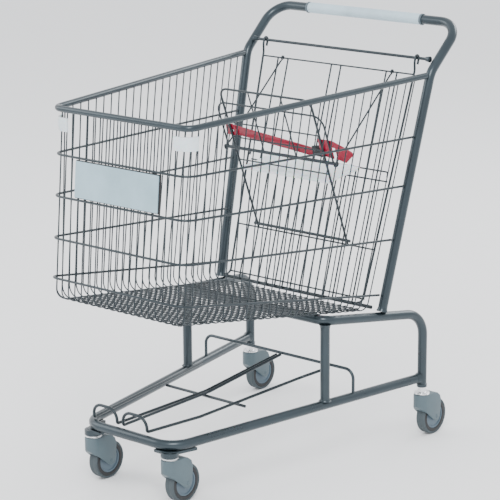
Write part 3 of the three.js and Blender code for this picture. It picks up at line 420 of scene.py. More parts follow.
FINISHES = {
    "tube_paint": lambda: finish_material(
        "Tube paint", rgb(looks().paint), 0.30, 0.55, wear=0.25, grain=1400.0, coat=0.35, bump=0.00005),
    "wire_paint": lambda: finish_material(
        "Wire coating", tuple(c * 0.70 for c in rgb(looks().paint)), 0.34, 0.5,
        wear=0.3, grain=1600.0, coat=0.25),
    "zinc": lambda: finish_material("Bright zinc", (0.80, 0.81, 0.82), 0.24, 0.95, wear=0.18, grain=500.0,
                                    worn=(0.5, 0.5, 0.48)),
    "grip_plastic": lambda: finish_material("Grip moulding", rgb(looks().grip), 0.46, wear=0.2, grain=2200.0,
                                            bump=0.0001),
    "collar_plastic": lambda: finish_material("Collar moulding", (0.085, 0.115, 0.135), 0.45),
    "sign_plastic": lambda: finish_material("Sign board", rgb(looks().sign), 0.42, wear=0.12, grain=1200.0),
    "bumper_plastic": lambda: finish_material("Bumper moulding", (0.66, 0.74, 0.78), 0.42, scatter=0.15),
    "seat_plastic": lambda: finish_material("Seat sheet", (0.80, 0.87, 0.90), 0.28, scatter=0.3, wear=0.10),
    "red_plastic": lambda: finish_material("Lap bar moulding", rgb(looks().red), 0.36, wear=0.12, coat=0.15,
                                           worn=(0.62, 0.10, 0.12)),
    "latch_plastic": lambda: finish_material("Latch moulding", (0.010, 0.011, 0.013), 0.42),
    "fork_plastic": lambda: finish_material(
        "Fork housing", (0.070, 0.105, 0.122), 0.42, wear=0.3, bump=0.0001),
    "wheel_hub": lambda: finish_material("Wheel centre", (0.085, 0.125, 0.160), 0.5, wear=0.25),
    "tyre_tread": lambda: finish_material("Tyre tread", (0.050, 0.066, 0.074), 0.72, wear=0.5, grain=700.0,
                                          worn=(0.22, 0.24, 0.25), bump=0.0002),
    # Tyre wall: near-black, partly the tyre's own dark rubber and partly painted shade on the side ring
    "tyre_wall_dark_and_shade": lambda: finish_material("Tyre wall dark rubber and painted shade", (0.012, 0.013, 0.015), 0.55, wear=0.3, grain=800.0),
}


def finish(name):
    return FINISHES[name]()


# ---------------------------------------------------------------------------
# Making pieces
# ---------------------------------------------------------------------------


def keep(mesh, name, body, slot, look=None, replaces=()):
    """Puts a finished mesh in the scene as a piece on one body."""
    work = bmesh.new()
    work.from_mesh(mesh)
    bmesh.ops.remove_doubles(work, verts=work.verts, dist=1e-7)
    bmesh.ops.recalc_face_normals(work, faces=work.faces)
    work.to_mesh(mesh)
    work.free()
    mesh.name = name
    mesh.materials.clear()
    mesh.materials.append(look or finish(slot))
    piece = bpy.data.objects.new(name, mesh)
    bpy.context.scene.collection.objects.link(piece)
    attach(piece, body)
    if replaces:
        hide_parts(*replaces)
    return piece


def rod_tree():
    """Geometry Nodes: rounds a bent line's corners and sweeps a round section along it."""
    name = "Bent rod"
    if name in bpy.data.node_groups:
        return bpy.data.node_groups[name]
    tree = bpy.data.node_groups.new(name, "GeometryNodeTree")
    face = tree.interface
    face.new_socket("Line", in_out="INPUT", socket_type="NodeSocketGeometry")
    face.new_socket("Radius", in_out="INPUT", socket_type="NodeSocketFloat")
    face.new_socket("Sides", in_out="INPUT", socket_type="NodeSocketInt")
    face.new_socket("Bend steps", in_out="INPUT", socket_type="NodeSocketInt")
    face.new_socket("Finish", in_out="INPUT", socket_type="NodeSocketMaterial")
    face.new_socket("Rod", in_out="OUTPUT", socket_type="NodeSocketGeometry")
    nodes, link = tree.nodes, tree.links.new
    start = nodes.new("NodeGroupInput")
    end = nodes.new("NodeGroupOutput")
    to_curve = nodes.new("GeometryNodeMeshToCurve")
    bend = nodes.new("GeometryNodeInputNamedAttribute")
    bend.data_type = "FLOAT"
    bend.inputs["Name"].default_value = "bend"
    fillet = nodes.new("GeometryNodeFilletCurve")
    fillet.mode = "POLY"
    sweep = nodes.new("GeometryNodeCurveToMesh")
    sweep.inputs["Fill Caps"].default_value = True
    section = nodes.new("GeometryNodeCurvePrimitiveCircle")
    smooth = nodes.new("GeometryNodeSetShadeSmooth")
    paint = nodes.new("GeometryNodeSetMaterial")
    real = nodes.new("GeometryNodeRealizeInstances")
    link(start.outputs["Line"], to_curve.inputs["Mesh"])
    link(to_curve.outputs["Curve"], fillet.inputs["Curve"])
    link(bend.outputs["Attribute"], fillet.inputs["Radius"])
    link(start.outputs["Bend steps"], fillet.inputs["Count"])
    link(fillet.outputs["Curve"], sweep.inputs["Curve"])
    link(start.outputs["Sides"], section.inputs["Resolution"])
    link(start.outputs["Radius"], section.inputs["Radius"])
    link(section.outputs["Curve"], sweep.inputs["Profile Curve"])
    link(sweep.outputs["Mesh"], smooth.inputs["Geometry"])
    link(smooth.outputs["Geometry"], real.inputs["Geometry"])
    link(real.outputs["Geometry"], paint.inputs["Geometry"])
    link(start.outputs["Finish"], paint.inputs["Material"])
    link(paint.outputs["Geometry"], end.inputs["Rod"])
    return tree


def rods(name, lines, radius, body, slot, replaces=(), sides=12, steps=None):
    """Round bars along lines; each line is a list of points and its corner radii (mm)."""
    verts, edges, bends = [], [], []
    for points, corner in lines:
        first = len(verts)
        inner = len(points) - 2
        corners = list(corner) if isinstance(corner, (list, tuple)) else [corner] * inner
        verts.extend(points)
        bends.extend([0.0, *[c * MM for c in corners], 0.0])
        edges.extend((first + i, first + i + 1) for i in range(len(points) - 1))
    line = bpy.data.meshes.new(name + " line")
    line.from_pydata([tuple(v) for v in verts], edges, [])
    attribute = line.attributes.new("bend", "FLOAT", "POINT")
    attribute.data.foreach_set("value", bends)
    holder = bpy.data.objects.new(name + " line", line)
    bpy.context.scene.collection.objects.link(holder)
    modifier = holder.modifiers.new("Bent rod", "NODES")
    tree = rod_tree()
    modifier.node_group = tree
    values = {
        "Radius": radius * MM,
        "Sides": sides,
        "Bend steps": steps or wires().bend_steps,
        "Finish": finish(slot),
    }
    for item in tree.interface.items_tree:
        if item.item_type == "SOCKET" and item.in_out == "INPUT" and item.name in values:
            modifier[item.identifier] = values[item.name]
    bpy.context.view_layer.update()
    graph = bpy.context.evaluated_depsgraph_get()
    mesh = bpy.data.meshes.new_from_object(holder.evaluated_get(graph), depsgraph=graph)
    bpy.data.objects.remove(holder)
    bpy.data.meshes.remove(line)
    if not mesh.polygons:
        raise RuntimeError(name + " came out empty")
    for attribute in [a for a in mesh.attributes if a.name == "bend"]:
        mesh.attributes.remove(attribute)
    return keep(mesh, name, body, slot, replaces=replaces)


def turned(name, profile, start, direction, body, slot, replaces=(), segments=48, look=None, closed=False):
    """A turned piece: profile of (radius, along) in mm, from start along a direction."""
    direction = Vector(direction).normalized()
    helper = Vector((0, 0, 1)) if abs(direction.z) < 0.9 else Vector((1, 0, 0))
    a = direction.cross(helper).normalized()
    b = direction.cross(a)
    work = bmesh.new()
    rings = []
    for radius, along in profile:
        middle = start + direction * (along * MM)
        if radius < 1e-6:
            rings.append([work.verts.new(middle)])
            continue
        ring = []
        for k in range(segments):
            angle = 2 * math.pi * k / segments
            out = a * math.cos(angle) + b * math.sin(angle)
            ring.append(work.verts.new(middle + out * (radius * MM)))
        rings.append(ring)
    pairs = list(zip(rings, rings[1:]))
    if closed:
        pairs.append((rings[-1], rings[0]))
    for one, two in pairs:
        for k in range(segments):
            n = (k + 1) % segments
            if len(one) == 1 and len(two) > 1:
                work.faces.new((one[0], two[k], two[n]))
            elif len(two) == 1 and len(one) > 1:
                work.faces.new((one[n], one[k], two[0]))
            elif len(one) > 1:
                work.faces.new((one[k], two[k], two[n], one[n]))
    if not closed:
        for ring in (rings[0], rings[-1]):
            if len(ring) > 1:
                work.faces.new(ring)
    bmesh.ops.recalc_face_normals(work, faces=work.faces)
    for edge in work.edges:
        if len(edge.link_faces) == 2 and edge.calc_face_angle(0) > math.radians(32):
            edge.smooth = False
    for face in work.faces:
        face.smooth = True
    mesh = bpy.data.meshes.new(name)
    work.to_mesh(mesh)
    work.free()
    return keep(mesh, name, body, slot, look=look, replaces=replaces)


def softened(node, name, body, slot, width=1.2, segments=3, angle=28.0):
    """A frame node's shape with its edges rounded, in place of the node."""
    source = bpy.data.objects[node].data
    work = bmesh.new()
    work.from_mesh(source)
    bmesh.ops.remove_doubles(work, verts=work.verts, dist=1e-6)
    bmesh.ops.dissolve_limit(
        work, angle_limit=math.radians(2), verts=work.verts, edges=work.edges,
        use_dissolve_boundaries=False,
    )
    for face in work.faces:
        face.smooth = True
    mesh = bpy.data.meshes.new(name)
    work.to_mesh(mesh)
    work.free()
    holder = bpy.data.objects.new(name + " blank", mesh)
    bpy.context.scene.collection.objects.link(holder)
    bevel = holder.modifiers.new("Rounded edges", "BEVEL")
    bevel.width = width * MM
    bevel.segments = segments
    bevel.limit_method = "ANGLE"
    bevel.angle_limit = math.radians(angle)
    bevel.harden_normals = False
    bpy.context.view_layer.update()
    graph = bpy.context.evaluated_depsgraph_get()
    done = bpy.data.meshes.new_from_object(holder.evaluated_get(graph), depsgraph=graph)
    bpy.data.objects.remove(holder)
    return keep(done, name, body, slot, replaces=(node,))


# ---------------------------------------------------------------------------
# Pieces
# ---------------------------------------------------------------------------


def mirrored(points, side):
    return [Vector((side * p.x, p.y, p.z)) for p in points]


class CART_OT_chassis(bpy.types.Operator):
    """Upper and lower chassis tubes, front posts and their welds"""

    bl_idname = "cart.chassis"
    bl_label = "Chassis"

    def execute(self, context):
        x1, y1, z1 = RAIL_FRONT
        upper = [
            P(-REAR_HALF, REAR_Y, LEG_FOOT_Z), P(-REAR_HALF, REAR_Y, RAIL_REAR_Z), P(-x1, y1, z1),
            P(x1, y1, z1), P(REAR_HALF, REAR_Y, RAIL_REAR_Z), P(REAR_HALF, REAR_Y, LEG_FOOT_Z),
        ]
        bends = [LEG_BEND, RAIL_BEND, RAIL_BEND, LEG_BEND]
        rods("upper_chassis_tube", [(upper, bends)], TUBE_R, "frame", "tube_paint",
             replaces=("upper_chassis",), sides=40, steps=14)
        end_y = REAR_Y - TUBE_R - 0.7
        xe, ze = lower_at(end_y + 4)
        xf, yf, zf = LOWER_FRONT
        lower = [P(-xe, end_y + 4, ze), P(-xf, yf, zf), P(xf, yf, zf), P(xe, end_y + 4, ze)]
        rods("lower_chassis_tube", [(lower, LOWER_BEND)], TUBE_R, "frame", "tube_paint",
             replaces=("lower_chassis",), sides=40, steps=16)
        for tag, side in (("l", 1), ("r", -1)):
            py = RAIL_FRONT[1] + 8
            px, lz = lower_at(py)
            rz = rail_at(py)[1]
            post = [
                (TUBE_R + 4.5, 0), (TUBE_R + 1.6, 2.5), (TUBE_R + 0.2, 6), (TUBE_R, 10),
                (TUBE_R, rz - lz - 38), (TUBE_R + 0.3, rz - lz - 30), (TUBE_R + 1.6, rz - lz - 24),
                (TUBE_R + 4.2, rz - lz - 19.5),
            ]
            turned("front_post_tube_" + tag, post, P(side * px, py, lz + TUBE_R - 2.5), (0, 0, 1), "frame",
                   "tube_paint", replaces=("front_post_" + tag,), segments=40)
            leg = P(side * REAR_HALF, REAR_Y, 0)
            along = (P(side * xe, end_y, ze) - P(side * xf, yf, zf)).normalized()
            weld = [(TUBE_R + 0.1, 0), (TUBE_R + 0.9, 5), (TUBE_R + 2.6, 9.5), (TUBE_R + 3.6, 13)]
            turned("rail_weld_" + tag, weld, P(side * xe, end_y + 2, ze) - along * 0.013, along, "frame",
                   "tube_paint", segments=40)
            collar = [(TUBE_R, 0), (TUBE_R + 1.4, 1), (TUBE_R + 1.4, 9), (TUBE_R, 10)]
            turned("leg_collar_" + tag, collar, Vector((leg.x, leg.y, LEG_FOOT_Z * MM)), (0, 0, 1), "frame",
                   "tube_paint", segments=40)
            softened("front_socket_" + tag, "front_gusset_" + tag, "frame", "tube_paint", width=1.6)
            post_foot = P(side * POST_FOOT[0], *POST_FOOT[1:])
            post_dir = P(side * POST_BEND[0], *POST_BEND[1:]) - post_foot
            foot = [(TUBE_R + 3.2, -2.5), (TUBE_R + 1.3, 2), (TUBE_R + 0.3, 6), (TUBE_R, 9)]
            turned("post_weld_" + tag, foot, post_foot, post_dir, "frame",
                   "tube_paint", segments=40)
        return {"FINISHED"}


class CART_OT_handle(bpy.types.Operator):
    """Handle frame, grip and its end collars"""

    bl_idname = "cart.handle"
    bl_label = "Handle"

    def execute(self, context):
        hx, hy, hz = HANDLE
        line = [
            P(-POST_FOOT[0], *POST_FOOT[1:]), P(-POST_BEND[0], *POST_BEND[1:]), P(-hx, hy, hz),
            P(hx, hy, hz), P(POST_BEND[0], *POST_BEND[1:]), P(POST_FOOT[0], *POST_FOOT[1:]),
        ]
        rods("handle_tube", [(line, HANDLE_BEND)], TUBE_R, "frame", "tube_paint",
             replaces=("handle_frame",), sides=40, steps=14)
        inner, outer = TUBE_R + 0.5, GRIP_R
        n = GRIP_HALF
        grip = [(inner, -n), (outer - 0.8, -n), (outer, -n + 1.5)]
        grip += [(outer, between(-n + 1.5, n - 1.5, k / 24)) for k in range(1, 24)]
        grip += [(outer, n - 1.5), (outer - 0.8, n), (inner, n)]
        turned("grip_sleeve", grip, P(0, hy, hz), (1, 0, 0), "frame", "grip_plastic", replaces=("grip",),
               segments=64, closed=True)
        for tag, side in (("l", 1), ("r", -1)):
            collar = [(inner, 0), (14.9, 0), (15.4, 0.6), (15.4, 5.2), (14.7, 6), (inner, 6)]
            turned("grip_ring_" + tag, collar, P(side * (n + 0.3), hy, hz), (side, 0, 0), "frame",
                   "collar_plastic", replaces=("grip_collar_" + tag,), segments=64, closed=True)
        return {"FINISHED"}


class CART_OT_basket(bpy.types.Operator):
    """Basket rim, upright wires, hoops and floor mesh"""

    bl_idname = "cart.basket"
    bl_label = "Basket"

    def execute(self, context):
        size = wires()
        wire_r = size.wire / MM / 2
        bx, by, bz = BASKET_FRONT
        ex, ey = RIM_END
        rim = [P(-ex, ey, RIM_REAR_Z), P(-bx, by, bz), P(bx, by, bz), P(ex, ey, RIM_REAR_Z)]
        rods("rim_tube", [(rim, RIM_BEND)], RIM_R, "frame", "tube_paint", replaces=("basket_rim",),
             sides=32, steps=12)
        for tag, side in (("l", 1), ("r", -1)):
            lines = []
            for i in range(size.side_wires):
                t = i / (size.side_wires - 1)
                ty, fy = between(*SIDE_TOP, t), between(*SIDE_FOOT, t)
                tx, tz = rim_at(ty)
                fx = foot_half(fy)
                points = [P(tx - 5.5, ty, tz - 2), P(fx, fy, floor_z(fy)), P(fx - 44, fy, floor_z(fy))]
                lines.append((mirrored(points, side), FOOT_BEND))
            edge = [P(foot_half(y) - 38, y, floor_z(y) + wire_r * 2) for y in (SIDE_FOOT[0] - 8, 176)]
            lines.append((mirrored(edge, side), 0))
            rods("side_grille_" + tag, lines, wire_r, "frame", "wire_paint",
                 replaces=("side_wires_" + tag,), sides=10)
        lines = []
        each = FRONT_WIRES_EACH_SIDE
        places = [(i * FRONT_PITCH, 0.0, 0.0) for i in range(-each, each + 1)]
        for degrees in FRONT_CORNER_TURNS:
            angle = math.radians(degrees)
            for side in (1, -1):
                x = side * (NOSE_HALF - CORNER_R + CORNER_R * math.sin(angle))
                places.append((x, CORNER_R * (1 - math.cos(angle)), side * angle))
        for x, back, angle in places:
            y0, y1 = NOSE_TOP_Y + back, NOSE_FOOT_Y + back
            run = 40 if angle == 0 else 33
            end_y = y1 + run * math.cos(angle)
            points = [
                P(x, y0 + (-1.5 if angle == 0 else -1), BASKET_FRONT[2] - 2), P(x, y1, floor_z(y1)),
                P(x - run * math.sin(angle), end_y, floor_z(end_y)),
            ]
            lines.append((points, NOSE_FOOT_BEND))
        rods("nose_grille", lines, wire_r, "frame", "wire_paint", replaces=("nose_wires",), sides=10)
        start, end = NOSE_FOOT_Y + 10, 186.0
        lines = []
        for i in range(size.floor_cross):
            y = between(start + 18, end - 4, i / (size.floor_cross - 1))
            half = foot_half(y) - 30
            lines.append(([P(-half, y, floor_z(y)), P(half, y, floor_z(y))], 0))
        rods("floor_cross_mesh", lines, wire_r, "frame", "wire_paint",
             replaces=("floor_cross_wires",), sides=8)
        lines = []
        for i in range(size.floor_long):
            share = 2 * i / (size.floor_long - 1) - 1
            points = [
                P(share * (foot_half(y) - 40), y, floor_z(y) + 2 * wire_r * 0.93) for y in (start + 14, end)
            ]
            lines.append((points, 0))
        rods("floor_long_mesh", lines, wire_r, "frame", "wire_paint",
             replaces=("floor_long_wires",), sides=8)
        out = 5.1
        for i, (front_z, rear_z) in enumerate(zip(HOOP_FRONT_Z, HOOP_REAR_Z)):
            front_y = nose_y(front_z) - out
            rear_y = post_at(rear_z)[1] - TUBE_R / math.cos(POST_LEAN) - HOOP_R - 0.3
            fx = max(side_half(front_y, front_z), NOSE_HALF) + out
            rx = side_half(rear_y, rear_z) + out
            line = [
                P(-rx, rear_y, rear_z), P(-fx, front_y, front_z),
                P(fx, front_y, front_z), P(rx, rear_y, rear_z),
            ]
            number = str(i + 1)
            rods("hoop_wire_" + number, [(line, CORNER_R + out)], HOOP_R, "frame", "wire_paint",
                 replaces=("hoop_" + number,), sides=16)
        low, high = span("floor_rear_rod")
        mid = (low + high) / 2
        line = [Vector((low.x, mid.y, mid.z)), Vector((high.x, mid.y, mid.z))]
        rods("floor_rear_bar", [(line, 0)], FLOOR_ROD_R, "frame", "wire_paint",
             replaces=("floor_rear_rod",), sides=20)
        return {"FINISHED"}


class CART_OT_gate(bpy.types.Operator):
    """Rear gate with its hinge rod and bosses"""

    bl_idname = "cart.gate"
    bl_label = "Rear gate"

    def execute(self, context):
        inner_r = wires().gate_wire / MM / 2
        hook_r = HINGE_ROD_R + GATE_EDGE_R + 0.4
        edges = []
        for side in (1, -1):
            top = GATE_HALF_TOP * side
            line = [
                gate_at(side * 230, GATE_FOOT - 6, 24), gate_at(side * gate_half(650), GATE_BOTTOM + 6, 0),
                gate_at(top, 34, 0), gate_at(top, 12, hook_r),
            ]
            corners = [18, 26, 20]
            for k in range(13):
                angle = math.pi * k / 12
                line.append(gate_at(top, -hook_r * math.sin(angle), hook_r * math.cos(angle)))
                corners.append(0)
            line.append(gate_at(top, 16, -hook_r))
            edges.append((line, corners[: len(line) - 2]))
        rods("gate_edge_wires", edges, GATE_EDGE_R, "gate", "wire_paint", replaces=("rear_gate",), sides=14)
        lines = []
        for side in (1, -1):
            for top, bottom in GATE_LONG_WIRES:
                lines.append(([gate_at(side * top, GATE_TOP), gate_at(side * bottom, GATE_FOOT)], 0))
            for x in GATE_SHORT_WIRES:
                lines.append(([gate_at(side * x, SEAT_WIRE_UPPER - 2), gate_at(side * x, GATE_FOOT)], 0))
        lines.append(([gate_at(-GATE_HALF_TOP, GATE_TOP), gate_at(GATE_HALF_TOP, GATE_TOP)], 0))
        half, low = SEAT_WIRE_HALF, SEAT_WIRE_UPPER + 14
        corners = ((-half, low), (-half, SEAT_WIRE_UPPER), (half, SEAT_WIRE_UPPER), (half, low))
        ends = [gate_at(x, down, SEAT_WIRE_AHEAD) for x, down in corners]
        lines.append((ends, 5))
        for down, trim in ((SEAT_WIRE_LOWER, 11), (GATE_LOWER, 0), (GATE_BOTTOM, 0)):
            half = gate_half(down) - trim
            lines.append(([gate_at(-half, down, -CROSS_BACK), gate_at(half, down, -CROSS_BACK)], 0))
        rods("gate_inner_wires", lines, inner_r, "gate", "wire_paint", sides=12)
        low, high = span("gate_hinge_rod")
        mid = (low + high) / 2
        n = (high.x - low.x) / 2 / MM
        rod = [(3.4, -n), (4, -n + 0.8), (4, n - 0.8), (3.4, n)]
        turned("hinge_bar", rod, mid, (1, 0, 0), "frame", "wire_paint",
               replaces=("gate_hinge_rod",), segments=32)
        for tag, side in (("l", 1), ("r", -1)):
            cone = [
                (4.3, 0), (5.4, 0.2), (6.2, 2), (7.0, 7), (8.0, 10.5), (8.0, 14), (7.6, 14.4), (4.3, 14.4),
            ]
            start = Vector((side * HINGE_CONE_X * MM, mid.y, mid.z))
            turned("hinge_cone_" + tag, cone, start, (side, 0, 0), "frame",
                   "tube_paint", replaces=("hinge_boss_" + tag,), segments=32, closed=True)
        return {"FINISHED"}


class CART_OT_seat(bpy.types.Operator):
    """Child seat: back frame, links, plate, lap bar and fittings"""

    bl_idname = "cart.seat"
    bl_label = "Child seat"

    def execute(self, context):
        body = "seat_back"
        n, top = BACK_HALF, BACK_LENGTH
        outer = [back_at(-n, 0), back_at(-n, top), back_at(n, top), back_at(n, 0)]
        rods("seat_back_outer", [(outer, 26)], BACK_R, body, "wire_paint", replaces=("seat_back_frame",),
             sides=16, steps=10)
        w, high = HOOP_BACK_HALF, HOOP_BACK_TOP
        hoop = [back_at(-w, SEAT_ROD_UP), back_at(-w, high), back_at(w, high), back_at(w, SEAT_ROD_UP)]
        rods("seat_back_hoop", [(hoop, 30)], HOOP_BACK_R, body, "wire_paint", sides=14, steps=10)
        thick = [([back_at(-SEAT_ROD_HALF, SEAT_ROD_UP), back_at(SEAT_ROD_HALF, SEAT_ROD_UP)], 0)]
        rods("seat_back_rod", thick, SEAT_ROD_R, body, "wire_paint", sides=20)
        rods("seat_foot_bar", [([back_at(-165, 13), back_at(165, 13)], 0)], 4, body, "wire_paint", sides=18)
        lines = [([back_at(x, SEAT_ROD_UP), back_at(x, BACK_LENGTH)], 0) for x in BACK_UPRIGHTS]
        lines += [([back_at(-BACK_HALF, up), back_at(BACK_HALF, up)], 0) for up in BACK_CROSSES]
        rods("seat_back_wires", lines, 2, body, "wire_paint", sides=12)
        for tag in ("l", "r"):
            x = centre("seat_link_" + tag).x / MM
            high, low = gate_at(x, GATE_TOP), P(x, *SEAT_ROD)
            along = (high - low).normalized()
            across = Vector((1, 0, 0)).cross(along)
            line = []
            for k in range(16):
                angle = math.pi * (0.5 + 1.62 * k / 15)
                line.append(low + (across * math.sin(angle) + along * math.cos(angle)) * 0.0072)
            line.append(low + along * 0.016)
            line.append(high - along * 0.013)
            for k in range(16):
                angle = math.pi * (1.12 - 1.62 * k / 15)
                line.append(high + (across * math.sin(angle) + along * math.cos(angle)) * 0.0047)
            rods("seat_link_wire_" + tag, [(line, 0)], 2.3, "link_" + tag, "wire_paint",
                 replaces=("seat_link_" + tag,), sides=12)
        softened("seat_plate", "seat_sheet", "seat_plate", "seat_plastic", width=1.6)
        softened("lap_bar", "lap_bar_moulding", "lap_bar", "red_plastic", width=1.5, segments=4)
        softened("lap_bar_latch", "latch_moulding", "lap_bar", "latch_plastic", width=1.2, segments=4)
        softened("lap_bar_bracket", "bracket_moulding", body, "red_plastic", width=1.2)
        softened("lap_bar_catch", "catch_moulding", body, "red_plastic", width=1.2)
        low, high = span("lap_bar_rivet")
        head = [
            (0, -2.4), (3.5, -2.0), (6.0, -0.8), (6.9, 0.6), (6.9, 1.2), (3.9, 1.6), (3.9, 10.2), (0, 10.4),
        ]
        turned("rivet_dome", head, back_at(RIVET_X, RIVET_UP, -12.6), BACK_AHEAD, body, "zinc",
               replaces=("lap_bar_rivet",), segments=32)
        stud = [(0, -1.6), (2.6, -1.3), (4.0, -0.3), (4.2, 0.6), (0, 0.6)]
        for i, (x, up) in enumerate(STUDS):
            turned("catch_stud_" + str(i + 1), stud, back_at(x, up, -7.5), BACK_AHEAD, body, "zinc",
                   segments=24)
        return {"FINISHED"}


class CART_OT_fittings(bpy.types.Operator):
    """Sign board and corner bumpers"""

    bl_idname = "cart.fittings"
    bl_label = "Fittings"

    def execute(self, context):
        softened("sign_tray", "sign_backing", "frame", "latch_plastic", width=1.4, segments=3)
        softened("sign_board", "sign_panel", "frame", "sign_plastic", width=0.9, segments=4)
        for tag in ("l", "r"):
            softened("corner_bumper_" + tag, "bumper_" + tag, "frame", "bumper_plastic",
                     width=1.4, segments=4)
        return {"FINISHED"}


class CART_OT_rack(bpy.types.Operator):
    """Undershelf arch, hairpin rods and cross rod"""

    bl_idname = "cart.rack"
    bl_label = "Undershelf"

    def execute(self, context):
        ax, az = lower_at(ARCH_Y)
        foot = az + TUBE_R - 1
        arch = [
            P(-ax, ARCH_Y, foot), P(-ax, ARCH_Y, ARCH_TOP_Z), P(ax, ARCH_Y, ARCH_TOP_Z), P(ax, ARCH_Y, foot),
        ]
        rods("rack_arch_rod", [(arch, 25)], RACK_WIRE_R + 0.2, "frame", "tube_paint",
             replaces=("rack_arch",), sides=20, steps=10)
        rear = ARCH_Y - 2 * RACK_WIRE_R - 0.3
        low = LOWER_FRONT[2] + TUBE_R + RACK_WIRE_R + 1.5
        nose, loop = RACK_NOSE_Y, low + RACK_LOOP_TALL
        out, near = RACK_LOOP_R
        right = [
            P(-lower_at(rear - 40)[0] + TUBE_R + 6.5, rear - 40, 172),
            P(-lower_at(-105)[0] + TUBE_R + 5, -105, 170.5),
            P(out, nose, low), P(out, nose - 3, loop),
            P(near, nose - 3, loop), P(near, nose, low), P(-41, -114, 178.5),
            P(4, rear, ARCH_TOP_Z - 5),
        ]
        rods("rack_hairpin_wire_r", [(right, RACK_BENDS)], RACK_WIRE_R, "frame", "wire_paint",
             replaces=("rack_hairpin_r",), sides=14)
        near, out = RACK_LOOP_L
        left = [
            P(18, rear, ARCH_TOP_Z - 2), P(-30, -114, 178.5),
            P(near, nose, low), P(near, nose - 3, loop),
            P(out, nose - 3, loop), P(out, nose, low), P(82, -274, 176), P(122, 75, 201),
            P(184, rear, ARCH_TOP_Z - 5),
        ]
        rods("rack_hairpin_wire_l", [(left, RACK_BENDS + [40])], RACK_WIRE_R, "frame", "wire_paint",
             replaces=("rack_hairpin_l",), sides=14)
        cross = [P(-190, -105, 160.5), P(117, -141, 176.5)]
        rods("rack_cross_wire", [(cross, 0)], RACK_WIRE_R, "frame", "wire_paint",
             replaces=("rack_cross_rod",), sides=14)
        return {"FINISHED"}


class CART_OT_casters(bpy.types.Operator):
    """Four swivel casters with their races, housings, wheels and axle caps"""

    bl_idname = "cart.casters"
    bl_label = "Casters"

    def execute(self, context):
        for key in ("rear_l", "rear_r", "front_l", "front_r"):
            swivel, wheel = key + "_swivel", key + "_wheel"
            hub = centre(key + "_hub")
            low, high = span(key + "_race")
            pivot = Vector(((low.x + high.x) / 2, (low.y + high.y) / 2, low.z))
            race = [
                (0, 0), (19, 0), (21.0, 0.8), (21.4, 1.6), (20.4, 2.3), (20.4, 2.9), (21.0, 3.6),
                (20.4, 5.0), (19.2, 5.7),
            ]
            neck = (high.z - low.z) / MM
            if neck > 8:
                race += [(12.5, 5.7), (11.4, 6.6), (11.0, 8.0), (11.0, neck)]
            race.append((0, race[-1][1]))
            turned(key + "_bearing", race, pivot, (0, 0, 1), "frame", "zinc", replaces=(key + "_race",),
                   segments=48)
            softened(key + "_fork", key + "_housing", swivel, "fork_plastic", width=2.2, segments=4, angle=35)
            for tag, side in (("in", -1), ("out", 1)):
                cap = [(0, 0), (5.6, 0), (5.8, 0.3), (5.6, 1.1), (4.6, 1.5), (2.2, 1.5), (1.9, 1.1), (0, 1.1)]
                start = hub + Vector((side * AXLE_CAP_OUT * MM, 0, 0))
                turned(key + "_axle_" + tag, cap, start, (side, 0, 0), swivel,
                       "fork_plastic", segments=32)
            tread = [
                (44.0, -12.5), (46.5, -13.6), (48.4, -13.4), (49.5, -12.0), (50.0, -9.0), (50.0, -2.0),
                (49.5, -1.2), (49.5, 1.2), (50.0, 2.0), (50.0, 9.0), (49.5, 12.0), (48.4, 13.4),
                (46.5, 13.6), (44.0, 12.5),
            ]
            turned(key + "_tread", tread, hub, (1, 0, 0), wheel, "tyre_tread", replaces=(key + "_tyre",),
                   segments=96, closed=True)
            # Side ring between disc and tread: the near-black wall finish is dark rubber with painted shade
            # on the tyre's side
            wall = [
                (34.0, -10), (35, -12.6), (38, -13.4), (42, -13.4), (43.9, -12.4), (43.9, 12.4),
                (42, 13.4), (38, 13.4), (35, 12.6), (34.0, 10),
            ]
            turned(key + "_wall", wall, hub, (1, 0, 0), wheel, "tyre_tread", look=finish("tyre_wall_dark_and_shade"),
                   segments=96, closed=True)
            disc = [
                (4.4, -14.5), (11, -14.5), (12.4, -13.6), (13, -11.2), (16, -10.6), (27, -9.4), (30, -9.2),
                (31, -11.4), (33.9, -12.0), (33.9, 12.0), (31, 11.4), (30, 9.2), (27, 9.4), (16, 10.6),
                (13, 11.2), (12.4, 13.6), (11, 14.5), (4.4, 14.5),
            ]
            turned(key + "_disc", disc, hub, (1, 0, 0), wheel, "wheel_hub", replaces=(key + "_hub",),
                   segments=96, closed=True)
        return {"FINISHED"}


def view_frame():
    """Camera place and turn: a long lens from the nose's left, level with the rim."""
    place = P(*VIEW_PLACE)
    az, el, roll = math.radians(VIEW_BEARING), math.radians(VIEW_DROP), math.radians(VIEW_ROLL)
    look = Vector((-math.sin(az) * math.cos(el), math.cos(az) * math.cos(el), -math.sin(el)))
    side = Vector((math.cos(az), math.sin(az), 0))
    up = side.cross(look)
    right = side * math.cos(roll) + up * math.sin(roll)
    above = -side * math.sin(roll) + up * math.cos(roll)
    turn = Matrix((right, above, -look)).transposed().to_4x4()
    return Matrix.Translation(place) @ turn


